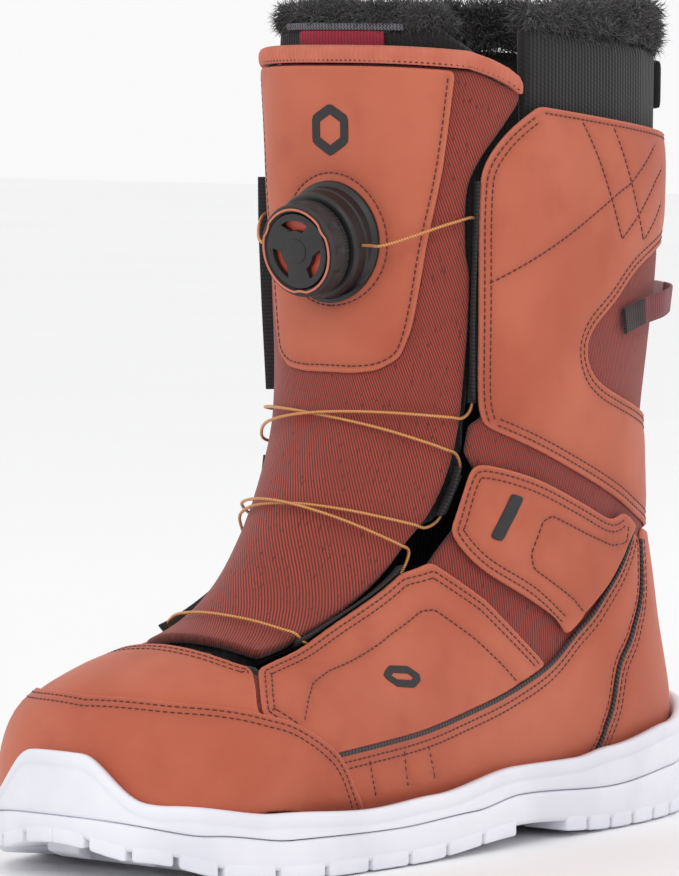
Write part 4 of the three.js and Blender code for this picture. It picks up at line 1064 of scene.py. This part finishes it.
# ---------------------------------------------------------------------------------------- tongue
# A padded twill tongue with a leather patch and a ribbed knit binding over its top. It carries the
# reel and tips forward on the vamp.
TONGUE_IN, TONGUE_OUT = -4.4, -1.2
tongue_half = np.vstack([spline([(0.12, 0.25), (0.24, 0.30), (0.36, 0.335), (0.8, 0.297), (1.2, 0.258),
                                 (1.6, 0.236),
                                 (2.3, 0.236), (2.7, 0.245), (4.5, 0.246), (5.4, 0.24), (6.1, 0.223),
                                 (6.8, 0.19),
                                 (8.35, 0.16), (9.7, 0.15)], 60)])
both = lambda half: np.vstack([half, np.asarray(half)[::-1] * [1, -1]])
tongue_twill = finish("tongue_twill", twill(0.42, (172, 72, 58), (88, 28, 24)), Sheen_Weight=0.15)
tongue = cut_panel("tongue_canvas", both(tongue_half), (TONGUE_IN, TONGUE_OUT), puff=0.0, edge=0.9,
                   grid=3.6,
                   soften=2)
dress(tongue, tongue_twill, "tongue_body", ["tongue"])

patch_half = np.array([(0.14, 0.216), (1.35, 0.195), (2.3, 0.17), (3.4, 0.15), (3.85, 0.133), (4.08, 0.095),
                       (4.15, 0.05)])
reel_seat = np.array([[2.3, 0.0]])
ring_s = 22.3 / np.linalg.norm(read_last(last_down, reel_seat))
ring_v = 22.3 / np.linalg.norm(read_last(last_round, reel_seat))
turns = np.linspace(0, 2 * np.pi, 60)
reel_row = np.column_stack([2.3 + ring_s * np.cos(turns), ring_v * np.sin(turns)])
patch_rows = beside(spline(patch_half, 40), 2.2) + beside(spline(patch_half * [1, -1], 40), 2.2)
patch_rows += beside([(4.15, 0.05), (4.15, 0), (4.15, -0.05)], 2.2) + [reel_row]
patch = cut_panel("tongue_patch_leather", both(patch_half), (FACE_IN, FACE_OUT), patch_rows, puff=0.3)
dress(patch, leather, "tongue_body", ["tongue_patch"])
sew("tongue_stitching", [(row, "tongue_patch_leather") for row in patch_rows], thread, "tongue_body")

points, faces = flat_ring(hexagon(0.95, 0.0, 7.0, 0.0), 3.2, FACE_OUT + 0.05, FACE_OUT + 0.55)
badge = outward(new_object("tongue_badge", to_frame(points), faces, smooth=False))
dress(badge, print_ink, "tongue_body")

# The knit binding is one folded strip: its section is carried round the tongue's top edge.
section = [(0.10, -4.4), (0.10, -0.4), (0.085, 0.25), (0.04, 0.62), (-0.03, 0.66), (-0.08, 0.3),
           (-0.115, -0.5),
           (-0.125, -1.8), (-0.115, -3.2), (-0.07, -4.2), (0.0, -4.6), (0.06, -4.6)]
section = spline(section + section[:1], 36)[:-1]
girths = np.linspace(-0.336, 0.336, 620)


def binding_fall(v):
    """How far down the binding runs at its ends, in stations."""
    return float(np.interp(abs(v), [0, 0.24, 0.28, 0.31, 0.336], [0, 0.0, 0.07, 0.15, 0.26]))


rings = []
for v in girths:
    rib = 0.16 * math.sin(v * 2 * math.pi / 0.0088)
    near_end = min(1.0, (0.336 - abs(v)) / 0.006)
    middle = section.mean(axis=0)
    shape = middle + (section - middle) * (0.55 + 0.45 * math.sqrt(near_end))
    depth = shape[:, 1] + np.where(shape[:, 1] > -1.5, rib, 0)
    rings.append(on_last(np.column_stack([shape[:, 0] + binding_fall(v), np.full(len(shape), v)]), depth))
points, faces = loft_rings(rings, (2, 2))
binding = outward(new_object("tongue_knit_binding", to_frame(points), faces))
knit = finish("rib_knit", lambda s: {
    "Base Color": s.noise(150, 2).between(0.3, 0.7).blend(tone(192, 104, 82), tone(202, 114, 92)),
    "Roughness": 0.82 + s.noise(300) * 0.1, "Normal": s.bump(s.noise(1400, 2), 0.3, 0.0002)},
              Sheen_Weight=0.1)
dress(binding, knit, "tongue_body", ["tongue_binding"])
binding_line = [(binding_fall(v) + 0.065, v) for v in np.linspace(-0.33, 0.33, 60)]
piece_edges["binding_face"] = (on_last(np.array([[5.0, 0.5]])), np.array([(-0.5, -0.4), (1, -0.4), (1, 0.4),
                                                                         (-0.5, 0.4)]), 0.55, 0.0, 0.1)
sew("binding_stitching", [(binding_line, "binding_face")], thread, "tongue_body", pitch=2.0,
    long=1.5,
    thick=0.32)

# ------------------------------------------------------------------------------------------ reel
# The dial reel winds the cable. Its housing is moulded nylon sewn on the patch; the dial is a rubber
# grip round a black cap with three windows, over a red disc, with a thin copper rim.
core_low, core_high = (np.array(corner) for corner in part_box("dial_core"))
reel_tilt = math.radians(99)
reel_turn = Matrix.Rotation(reel_tilt, 4, "X")
reel_axis = np.array([0, -math.sin(reel_tilt), math.cos(reel_tilt)])
CORE_MIDDLE = 8.4
reel_middle = (core_low + core_high) / 2 - reel_axis * CORE_MIDDLE * MM
reel_place = Matrix.Translation(Vector(reel_middle)) @ reel_turn


def turned(name, profile, steps=144, shape=None):
    """A part turned on the reel's axis. The profile is closed, and shape may change it as it turns."""
    profile = np.asarray(profile, float)
    rings = []
    for angle in np.linspace(0, 2 * np.pi, steps, endpoint=False):
        made = shape(angle, profile) if shape else profile
        rings.append(np.column_stack([made[:, 0] * math.cos(angle), made[:, 0] * math.sin(angle),
                                      made[:, 1]]))
    n = len(profile)
    faces = []
    for r in range(steps):
        for k in range(n):
            a, b = r * n + k, r * n + (k + 1) % n
            faces.append((a, b, (b + n) % (n * steps), (a + n) % (n * steps)))
    made = new_object(name, np.vstack(rings) * MM, faces)
    bpy.ops.object.select_all(action="DESELECT")
    bpy.context.view_layer.objects.active = made
    made.select_set(True)
    bpy.ops.object.mode_set(mode="EDIT")
    bpy.ops.mesh.select_all(action="SELECT")
    bpy.ops.mesh.remove_doubles(threshold=1e-6)
    bpy.ops.object.mode_set(mode="OBJECT")
    made.data.transform(reel_place)
    outward(made)
    return smooth_by_angle(made, 32)


def rounded(corners, radius, steps=4):
    """A closed profile with its corners rounded."""
    corners = np.asarray(corners, float)
    made = []
    for k in range(len(corners)):
        here, before, after = corners[k], corners[k - 1], corners[(k + 1) % len(corners)]
        a, b = before - here, after - here
        reach = min(radius, np.linalg.norm(a) * 0.45, np.linalg.norm(b) * 0.45)
        start, end = here + a / np.linalg.norm(a) * reach, here + b / np.linalg.norm(b) * reach
        for t in np.linspace(0, 1, steps + 1):
            made.append(start * (1 - t) ** 2 + here * 2 * t * (1 - t) + end * t ** 2)
    return np.array(made)


nylon = finish("black_nylon", lambda s: {
    "Base Color": s.noise(60).blend(tone(24, 22, 24), tone(38, 35, 37)),
                                         "Roughness": 0.36 + s.noise(900, 2) * 0.14,
    "Normal": s.bump(s.noise(2200, 2), 0.12, 0.0001)}, Specular_IOR_Level=0.5)
grip_rubber = finish("grip_rubber", lambda s: {
    "Base Color": s.noise(90).blend(tone(40, 36, 37), tone(58, 53, 53)),
                                               "Roughness": 0.58 + s.noise(900, 2) * 0.14,
    "Normal": s.bump(s.noise(1800, 2), 0.2, 0.0001)})
patch_tree = BVHTree.FromObject(patch, bpy.context.evaluated_depsgraph_get())


def on_patch(angle, radius):
    """Height of the leather patch under a point of the reel's own plane, in millimetres."""
    local = Vector((radius * math.cos(angle) * MM, radius * math.sin(angle) * MM, 0.03))
    hit = patch_tree.ray_cast(reel_place @ local, -Vector(reel_axis))
    return ((reel_place.inverted() @ hit[0]).z / MM) if hit[0] else -1.0


def seated(angle, profile):
    made = profile.copy()
    low = made[:, 1] < -0.5
    made[low, 1] = [on_patch(angle, min(radius, 19.6)) + 0.25
                    for radius in made[low, 0]]
    floor = on_patch(angle, 19.6) + 1.6
    lifted = (~low) & (made[:, 0] > 18.2) & (made[:, 1] < 2.7)
    made[lifted, 1] = np.maximum(np.minimum(made[lifted, 1], floor + (made[lifted, 1] - 1.6)), floor - 0.4)
    return made


housing_profile = rounded([(12.7, -1), (20, -1), (20, 1.4), (18.6, 2.7), (17.9, 3.2), (17.9, 7.4),
                           (17.0, 8.4),
                           (12.7, 8.4)], 0.5)
housing = turned("reel_base", housing_profile, 180, seated)
dress(housing, nylon, "tongue_body", ["reel_housing"])


def grip_shape(angle, profile):
    made = profile.copy()
    outer = made[:, 0] > 14.2
    height = made[:, 1]
    low = np.exp(-((height - 10.2) / 1.3) ** 2)
    ribs = 0.22 * np.sign(math.sin(angle * 84)) * low
    lobe = math.cos(angle * 12)
    dimple = -0.75 * max(lobe, 0) ** 2 * np.exp(-((height - 14.1) / 1.7) ** 4)
    made[outer, 0] += (ribs + dimple)[outer]
    return made


grip_profile = [(12.9, 9.3), (13.2, 8.9), (14.9, 8.9), (15.45, 9.2)]
grip_profile += [(15.5 + 0.28 * math.sin((h - 9.2) / 8 * math.pi), h) for h in np.linspace(9.5, 16.8, 20)]
grip_profile += [(15.35, 17.15), (15.0, 17.42), (14.4, 17.5), (13.2, 17.5), (12.9, 17.2)]
grip = turned("dial_rubber_grip", grip_profile, 288, grip_shape)
dress(grip, grip_rubber, "dial_body", ["dial_grip"])


def three_notches(angle, profile):
    made = profile.copy()
    notch = max(0.0, math.cos(1.5 * (angle - math.pi / 6)) ** 2 - 0.93) / 0.07
    made[:, 0] -= 0.55 * notch
    return made


copper = finish("copper_trim", lambda s: {
    "Base Color": s.noise(200).blend(tone(188, 104, 82), tone(214, 132, 104)),
                                          "Roughness": 0.34 + s.noise(800) * 0.1},
    Metallic=0.35, Specular_IOR_Level=0.6)
rim_ring = turned("dial_copper_rim", rounded([(13.55, 17.85), (14.35, 17.85), (14.35, 18.3), (13.55, 18.3)],
                                             0.2, 3), 216,
                  three_notches)
dress(rim_ring, copper, "dial_body", ["dial_rim"])


def flat_plate(name, outline, holes, low, high, round_edge):
    """A plate cut to an outline with holes, its edges rounded."""
    curve = bpy.data.curves.new(name, "CURVE")
    curve.dimensions, curve.fill_mode = "2D", "BOTH"
    curve.extrude = (high - low) / 2 * MM - round_edge * MM
    curve.bevel_depth, curve.bevel_resolution = round_edge * MM, 2
    for points in [outline] + holes:
        line = curve.splines.new("POLY")
        line.points.add(len(points) - 1)
        for place, (x, y) in zip(line.points, points):
            place.co = (x * MM, y * MM, 0, 1)
        line.use_cyclic_u = True
    made = bpy.data.objects.new(name, curve)
    bpy.context.scene.collection.objects.link(made)
    bpy.ops.object.select_all(action="DESELECT")
    bpy.context.view_layer.objects.active = made
    made.select_set(True)
    bpy.ops.object.convert(target="MESH")
    made = bpy.context.object
    bpy.ops.object.mode_set(mode="EDIT")
    bpy.ops.mesh.select_all(action="SELECT")
    bpy.ops.mesh.remove_doubles(threshold=1e-6)
    bpy.ops.object.mode_set(mode="OBJECT")
    made.data.transform(Matrix.Translation((0, 0, (low + high) / 2 * MM)))
    made.data.transform(reel_place)
    outward(made)
    return smooth_by_angle(made, 40)


def window(middle):
    outer = [(10.5 * math.cos(a), 10.5 * math.sin(a)) for a in np.linspace(middle - 0.62, middle + 0.62,
                                                                           14)]
    inner = [(6.6 * math.cos(a), 6.6 * math.sin(a)) for a in np.linspace(middle + 0.30, middle - 0.52, 8)]
    return rounded(outer + inner, 0.6, 3)


disc = [(12.25 * math.cos(a), 12.25 * math.sin(a)) for a in np.linspace(0, 2 * np.pi, 120, endpoint=False)]
spokes = [window(2 * math.pi * k / 3 + math.pi / 2) for k in range(3)]
cap = flat_plate("dial_face_cap", disc, spokes, 15.75, 18.0, 0.3)
dress(cap, nylon, "dial_body", ["dial_cap"])
hub = turned("dial_hub", rounded([(0, 17.9), (4.2, 17.9), (4.0, 18.35), (0, 18.45)], 0.25, 3)[3:], 72)
dress(hub, nylon, "dial_body")
red_disc = finish("red_disc", lambda s: {
    "Base Color": s.noise(120).blend(tone(196, 78, 56), tone(216, 96, 72)),
                                         "Roughness": 0.35 + s.noise(900) * 0.1})
steel = finish("plated_steel", lambda s: {
    "Base Color": s.noise(400).blend(tone(150, 150, 152), tone(178, 178, 180)),
                                          "Roughness": 0.28 + s.noise(900) * 0.15},
    Metallic=1.0)
grey_nylon = finish("grey_nylon", lambda s: {
    "Base Color": s.noise(200).blend(tone(84, 82, 86), tone(104, 102, 106)),
                                             "Roughness": 0.45 + s.noise(900) * 0.15})
for node, material in [("dial_insert", red_disc), ("dial_screw", steel), ("lace_spool", grey_nylon),
                       ("dial_core", grey_nylon)]:
    kept = frame["nodes"][node]
    kept.data.materials.clear()
    kept.data.materials.append(material)

# ------------------------------------------------------------------------------------------ lace
# One copper-coloured steel cable leaves the reel on each side and zigzags down through low-friction
# tubes in black webbing behind the panels' front edges.
GUIDES = {"upper": (2.15, 4.35), "middle": (5.45, 6.05), "lower": (7.05, 8.8)}
GUIDE_S = [2, 4.4, 5.4, 6.1, 6.8, 8.35, 9.2]
GUIDE_V = [0.262, 0.268, 0.262, 0.245, 0.212, 0.182, 0.182]
GUIDE_DEPTH, LACE_RADIUS = -3.1, 0.55
LACE_FACE = TONGUE_OUT + LACE_RADIUS + 1.4


def guide_line(start, end, side, count):
    s = np.linspace(start, end, count + 1)
    return on_last(np.column_stack([s, side * np.interp(s, GUIDE_S, GUIDE_V)]), GUIDE_DEPTH)


def crossing(from_s, to_s, side, lift):
    half = [(0.93, -0.6), (0.84, LACE_FACE + 0.7), (0.7, LACE_FACE + 0.6), (0.45, LACE_FACE + 0.4),
            (0.2, LACE_FACE)]
    shares = half + [(0, LACE_FACE)] + [(-share, depth) for share, depth in half[::-1]]
    points = []
    for share, depth in shares:
        s = from_s + (to_s - from_s) * (1 - share) / 2
        v = side * share * np.interp(s, GUIDE_S, GUIDE_V)
        points.append(on_last(np.array([[s, v]]), depth + lift * (1 - abs(share)))[0])
    return np.array(points)


def lace_half(side, lift):
    leave = [(np.array(reel_place @ Vector((side * x * MM, 0, 5 * MM))) - last_origin) / MM for x in (13,
                                                                                                      20.5,
                                                                                                      26)]
    leave += list(on_last(np.array([(1.95, side * 0.215), (1.88, side * 0.25)]), [1.2, -1.2]))
    through = {name: guide_line(low - 0.1, high + 0.1, side if name != "middle" else -side,
                                max(3, round((high - low) * 4))) for name, (low, high) in GUIDES.items()}
    return np.array(leave), np.vstack([through["upper"], crossing(4.6, 5.2, side, lift), through["middle"],
                                       crossing(6.3, 6.7, -side, lift), through["lower"]])


def smooth_line(points, step=0.9):
    points = np.asarray(points, float)
    ring = np.vstack([2 * points[0] - points[1], points, 2 * points[-1] - points[-2]])
    made = []
    for k in range(len(points) - 1):
        p = ring[k:k + 4]
        knots = np.concatenate([[0], np.cumsum(np.linalg.norm(np.diff(p, axis=0), axis=1) ** 0.5)])
        for t in np.linspace(knots[1], knots[2], 12, endpoint=False):
            a = [p[i] + (p[i + 1] - p[i]) * (t - knots[i]) / (knots[i + 1] - knots[i]) for i in range(3)]
            b = [a[i] + (a[i + 1] - a[i]) * (t - knots[i]) / (knots[i + 2] - knots[i]) for i in range(2)]
            made.append(b[0] + (b[1] - b[0]) * (t - knots[1]) / (knots[2] - knots[1]))
    return along_curve(np.array(made + [points[-1]]), step)


leave_lateral, down_lateral = lace_half(1, 2 * LACE_RADIUS + 0.4)
leave_medial, down_medial = lace_half(-1, 0)
lace_line = smooth_line(np.vstack([leave_lateral, down_lateral, crossing(9.05, 9.05, 1, 0),
                                   down_medial[::-1],
                                   leave_medial[::-1]]))
guide_tops = [guide_line(2.15, 2.2, side, 1)[0] for side in (1, -1)]
first = int(np.argmin(np.linalg.norm(lace_line - guide_tops[0], axis=1)))
last = int(np.argmin(np.linalg.norm(lace_line - guide_tops[1], axis=1)))


def lace_metal(s):
    u = s.node("SeparateXYZ", {}, {0: s.pattern()}) * (6.2832 / 0.0009)
    w = s.node("SeparateXYZ", {}, {0: s.pattern()}, out=1) * 6.2832
    strand = (u + w).math("SINE", u + w) * 0.5 + 0.5
    colour = strand.between(0.15, 0.9).blend(tone(190, 122, 70), tone(226, 168, 108))
    return {"Base Color": colour, "Roughness": 0.36 + strand * 0.1, "Normal": s.bump(strand, 0.6, 0.0002)}


copper_cable = finish("copper_cable", lace_metal, Metallic=0.55)
parts = {"reel_lateral": [lace_line[:first + 1]], "reel_medial": [lace_line[last:][::-1]], "lateral": [],
         "medial": []}
middle_line = lace_line[first:last + 1]
centre_x = float(on_last(np.array([[5.0, 0.0]]))[0, 0])
signs = middle_line[:, 0] > centre_x
changes = [0] + list(np.nonzero(signs[1:] != signs[:-1])[0] + 1) + [len(middle_line)]
for a, b in zip(changes[:-1], changes[1:]):
    run = middle_line[max(a - 1, 0):b]
    parts["lateral" if signs[a] else "medial"].append(run)
for part, runs in parts.items():
    points, faces, uv = gather([tube_along(run, LACE_RADIUS, 8) for run in runs])
    cable = outward(new_object(f"lace_{part}", to_frame(points), faces, uv=uv))
    dress(cable, copper_cable, None, ["lace_cable"])
    side = 1 if "lateral" in part else -1
    if part.startswith("reel"):
        side * 0.030
        side * 0.046
        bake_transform(cable)
    else:
        side * 0.029
        side * 0.019
        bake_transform(cable)

# Black webbing binds the edge that each guide runs along.
eyestay_web = finish("eyestay_webbing", webbing((52, 48, 51), (16, 14, 16)))
for side, sign in SIDES.items():
    wide, sits = (4.6, 0.8) if sign < 0 else (3.2, -0.3)
    stays = []
    for stretch in ([(1.45, .2515), (2.2, .2495), (3.2, .2515), (4.3, .262)],
                    [(5.35, .2515), (5.7, .2475), (6.1, .2355)],
                    [(6.95, .197), (7.6, .180), (8.35, .166), (9.2, .168)]):
        path = spline(np.array(stretch) * [1, sign], 24)
        stays.append(strap_along(on_last(path[::3], sits), np.cross(read_last(last_normals, path[::3]),
                     np.gradient(on_last(path[::3]), axis=0)), wide, 0.9))
    points, faces, uv = gather(stays)
    stay = outward(new_object(f"eyestay_webbing_{side}", to_frame(points), faces, uv=uv))
    dress(stay, eyestay_web, "root")
guide_web = finish("guide_webbing", webbing((58, 54, 57), (22, 20, 22)))
for name, (low, high) in GUIDES.items():
    for side, sign in SIDES.items():
        line = smooth_line(guide_line(low, high, sign, max(3, round((high - low) * 4))), 1.0)
        line += np.random.default_rng(len(name) + sign).normal(0, 0.05, line.shape)
        points, faces, uv = tube_along(line, 1.55, 14)
        tube = outward(new_object(f"lace_tube_{name}_{side}", to_frame(points), faces, uv=uv))
        dress(tube, guide_web, "root", [f"lace_guide_{name}_{side}"])

# ----------------------------------------------------------------------------------------- liner
# The removable inner boot is heat-moulded foam in black ribbed knit, with its own tongue. Its shell
# is remeshed and smoothed so that its cut edges round over like foam.
boot_middle = (last_origin + np.array([0, 66, 0]) * MM)


def knit_fabric(light, dark, count):
    def mix(s):
        x = s.node("SeparateXYZ", {}, {0: s.place()}) - float(boot_middle[0])
        y = s.node("SeparateXYZ", {}, {0: s.place()}, out=1) - float(boot_middle[1])
        z = s.node("SeparateXYZ", {}, {0: s.place()}, out=2)
        turn = x.math("ARCTAN2", y, x * 1.25) * count
        rib = turn.math("SINE", turn) * 0.5 + 0.5
        loop = (z * (6.2832 / 0.0016)).math("SINE", z * (6.2832 / 0.0016) + turn * 0.5) * 0.5 + 0.5
        colour = (rib * 0.7 + loop * 0.3).blend(tone(*dark), tone(*light))
        colour = (s.noise(120, 3) * 0.3).blend(colour, tone(*dark))
        return {"Base Color": colour, "Roughness": 0.86 + rib * 0.08,
                "Normal": s.bump(rib + loop * 0.4, 0.5, 0.0005)}
    return mix


liner_knit = finish("liner_knit", knit_fabric((40, 37, 39), (14, 12, 14), 240), Sheen_Weight=0.12)


def foam_copy(name, node, voxel, smooth):
    """A foam piece grown from its plain solid: joined, remeshed and rounded over."""
    source = frame["nodes"][node]
    mesh = source.data.copy()
    made = bpy.data.objects.new(name, mesh)
    bpy.context.scene.collection.objects.link(made)
    mesh.transform(source.matrix_world)
    bpy.ops.object.select_all(action="DESELECT")
    bpy.context.view_layer.objects.active = made
    made.select_set(True)
    bpy.ops.object.mode_set(mode="EDIT")
    bpy.ops.mesh.select_all(action="SELECT")
    bpy.ops.mesh.remove_doubles(threshold=1e-6)
    bpy.ops.object.mode_set(mode="OBJECT")
    apply_modifier(made, "REMESH", mode="VOXEL", voxel_size=voxel * MM, use_smooth_shade=True)
    apply_modifier(made, "SMOOTH", factor=0.5, iterations=smooth)
    return made


liner = foam_copy("liner_foam_boot", "liner_boot", 2.0, 6)
dress(liner, liner_knit, "root", ["liner_boot"])
liner_tongue = foam_copy("liner_foam_tongue", "liner_tongue", 1.8, 5)
dress(liner_tongue, liner_knit, "liner_tongue_body", ["liner_tongue"])

pad = foam_copy("liner_heel_pad", "liner_back_pad", 1.6, 3)
cloth = pad.modifiers.new("Cloth", "CLOTH")
cloth.settings.use_pressure = True
cloth.settings.uniform_pressure_force = 4
cloth.settings.effector_weights.gravity = 0
rest = np.array([tuple(vertex.co) for vertex in pad.data.vertices])
for step in range(1, 21):
    bpy.context.scene.frame_set(step)
swollen = pad.evaluated_get(bpy.context.evaluated_depsgraph_get()).to_mesh()
moved = np.array([tuple(vertex.co) for vertex in swollen.vertices]) - rest
pad.modifiers.remove(cloth)
far = np.linalg.norm(moved, axis=1, keepdims=True) + 1e-12
moved *= np.minimum(1, 1.2 * MM / far)
pad.data.vertices.foreach_set("co", (rest + moved).ravel())
bpy.context.scene.frame_set(1)
apply_modifier(pad, "SMOOTH", factor=0.5, iterations=3)
dress(pad, liner_knit, "root", ["liner_back_pad"])

pull_s = np.array([(-1.02, 1, 1.6), (-0.95, 1, 5), (-0.82, 1, 8), (-0.68, 1, 8.4), (-0.56, 1, 6),
                   (-0.5, 1, 2)])
LINER_OUT = -3.1
liner_pull = strap_along(on_last(pull_s[:, :2], LINER_OUT + pull_s[:, 2]),
                         read_last(last_normals, pull_s[:, :2]), 14,
                         1.2)
liner_loop = outward(new_object("liner_pull_webbing", to_frame(liner_pull[0]), liner_pull[1],
                                uv=liner_pull[2]))
dress(liner_loop, black_webbing, "root", ["liner_pull_loop"])

label_weave = finish("label_weave", webbing((176, 34, 62), (112, 16, 38)), Sheen_Weight=0.1)
label = cut_panel("liner_woven_label", both([(-0.3, 0.09), (0.1, 0.09)]), (-5.5, -5.0), puff=0.05, edge=0.2,
                  grid=1.5, soften=1, rings=(0.2, 0.6))
dress(label, label_weave, "liner_tongue_body", ["liner_label"])
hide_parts("liner_label")
footbed = cut_panel("footbed_foam", np.array([(8.3, 0.84), (9.2, 0.80), (12.2, 0.80), (12.2, 1.20),
                                              (9.2, 1.20),
                    (8.3, 1.16)]), (-12.0, -9.0), puff=0.0, edge=0.8, grid=4, soften=3,
                    rings=(0.3, 0.8, 2.0))
footbed_cloth = finish("footbed_cloth", lambda s: {
    "Base Color": s.noise(700, 3).blend(tone(92, 90, 96), tone(122, 120, 126)),
                                                   "Roughness": 0.9 - s.noise(60) * 0.05,
    "Normal": s.bump(s.noise(2200, 1), 0.4, 0.0002)})
dress(footbed, footbed_cloth, "root", ["footbed"])

webbing_panel = cut_panel("liner_label_webbing", both([(-0.40, 0.13), (-0.31, 0.13)]), (-5.6, -4.9),
                          puff=0.1, edge=0.25,
                          grid=1.4, soften=1, rings=(0.25, 0.6))
dress(webbing_panel, finish("grey_webbing", webbing((128, 126, 134), (58, 56, 62))), "liner_tongue_body")

# ------------------------------------------------------------------------------------------- fur
# Faux fur lines the liner's collar and the top of its tongue: a soft curly pile, here short tapered
# strands over a lumpy backing.
fur_pile = finish("fur_pile", lambda s: {
    "Base Color": s.noise(90, 3).between(0.3, 0.7).blend(tone(16, 13, 14), tone(46, 38, 38)),
    "Roughness": 0.9 - s.noise(300) * 0.1}, Sheen_Weight=0.4)
fur_back = finish("fur_backing", lambda s: {
    "Base Color": s.noise(260, 3).blend(tone(12, 10, 11), tone(26, 22, 22)),
                                            "Roughness": 0.95 - s.noise(90) * 0.05,
    "Normal": s.bump(s.noise(700, 4), 1.0, 0.002)}, Sheen_Weight=0.3)


def grow_fur(name, node, body, strands, length, seed):
    backing = foam_copy(f"{name}_backing", node, 1.6, 5)
    dice = np.random.default_rng(seed)
    mesh = backing.data
    count = len(mesh.vertices)
    points = np.zeros(count * 3)
    normals = np.zeros(count * 3)
    mesh.vertices.foreach_get("co", points)
    mesh.vertex_normals.foreach_get("vector", normals)
    points, normals = points.reshape(-1, 3), normals.reshape(-1, 3)
    lump = np.sin(points @ [900, 300, 500]) * np.sin(points @ [-400, 800, 350]) * 0.4 * MM
    points = points + normals * (lump[:, None] - 0.9 * MM)
    mesh.vertices.foreach_set("co", points.ravel())
    dress(backing, fur_back, body, [node])
    chosen = dice.integers(0, count, strands)
    root = points[chosen] + dice.normal(0, 0.5 * MM, (strands, 3))
    lean = np.column_stack([np.sin(root @ [230, 90, 60] + 1), np.sin(root @ [70, 260, 110]),
                            np.sin(root @ [120, 80, 210] + 2)])
    heading = normals[chosen] * 1.0 + lean * 0.55 + dice.normal(0, 0.38, (strands, 3)) - [0, 0, 0.08]
    heading /= np.linalg.norm(heading, axis=1, keepdims=True)
    curl = np.cross(heading, dice.normal(0, 1, (strands, 3)))
    curl /= np.linalg.norm(curl, axis=1, keepdims=True)
    side = np.cross(heading, curl)
    long = length * MM * dice.uniform(0.6, 1.15, (strands, 1))
    sag = np.array([[0, 0, -1.0]]) * long
    centres = [root - heading * 0.6 * MM, root + heading * long * 0.38 + curl * long * 0.10,
               root + heading * long * 0.72 + curl * long * 0.34 + sag * 0.03,
               root + heading * long * 0.88 + curl * long * 0.72 + sag * 0.10]
    thick = [0.17, 0.16, 0.11]
    made, faces = [], []
    for centre, width in zip(centres[:3], thick):
        for turn in range(3):
            angle = 2 * math.pi * turn / 3
            made.append(centre + (curl * math.cos(angle) + side * math.sin(angle)) * width * MM)
    made.append(centres[3])
    made = np.stack(made, axis=1).reshape(-1, 3)
    pattern = [(2, 1, 0)]
    for row in range(2):
        for k in range(3):
            a, b = row * 3 + k, row * 3 + (k + 1) % 3
            pattern.append((a, b, b + 3, a + 3))
    pattern += [(6, 7, 9), (7, 8, 9), (8, 6, 9)]
    for k in range(strands):
        faces += [tuple(k * 10 + corner for corner in face) for face in pattern]
    pile = new_object(f"{name}_pile", made, faces)
    return dress(pile, fur_pile, body)


grow_fur("collar_fur", "liner_fur_collar", "root", 12500, 5.2, 5)
grow_fur("tongue_fur", "liner_tongue_fur", "liner_tongue_body", 6000, 4.6, 8)

# ------------------------------------------------------------------------------------------ room
# A plain pale floor, soft studio lamps, and the camera.
bpy.ops.mesh.primitive_plane_add(size=12, location=(0, 0, -0.0005))
floor = bpy.context.object
floor.name = "studio_floor"
bpy.ops.object.transform_apply(location=True)
floor.data.materials.append(finish("floor_paint", lambda s: {
    "Base Color": s.noise(3, 2).blend(tone(246, 246, 247), tone(250, 250, 250)), "Roughness": 0.65}))
floor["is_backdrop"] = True

world = bpy.data.worlds.new("studio")
bpy.context.scene.world = world
world.use_nodes = True
world.node_tree.nodes["Background"].inputs["Color"].default_value = (1, 1, 1, 1)
world.node_tree.nodes["Background"].inputs["Strength"].default_value = 0.95
bpy.context.scene.view_settings.view_transform = "Standard"
aim = Vector(to_frame([0, 0, 134.5]))
for name, at, size, power in [("key", (1.0, -1.5, 1.5), 0.9, 6), ("fill", (-1.6, -0.9, 0.8), 1.2, 1),
                              ("back", (0.5, 1.4, 1.2), 1.0, 2)]:
    data = bpy.data.lights.new(name, "AREA")
    data.size, data.energy = size, power
    lamp = bpy.data.objects.new(name, data)
    bpy.context.scene.collection.objects.link(lamp)
    lamp.location = at
    lamp.rotation_euler = (aim - Vector(at)).to_track_quat("-Z", "Y").to_euler()

azimuth, elevation = math.radians(40), math.radians(4)
back = Vector((math.sin(azimuth) * math.cos(elevation), -math.cos(azimuth) * math.cos(elevation),
               math.sin(elevation)))
camera_data = bpy.data.cameras.new("camera")
camera_data.lens = 6000 / 876 * 36
camera_data.sensor_width = 36
camera_data.clip_start, camera_data.clip_end = 0.1, 30
camera = bpy.data.objects.new("camera", camera_data)
bpy.context.scene.collection.objects.link(camera)
camera.location = aim + back * 2.0
camera.rotation_euler = (-back).to_track_quat("-Z", "Y").to_euler()
bpy.context.scene.camera = camera

low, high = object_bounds()
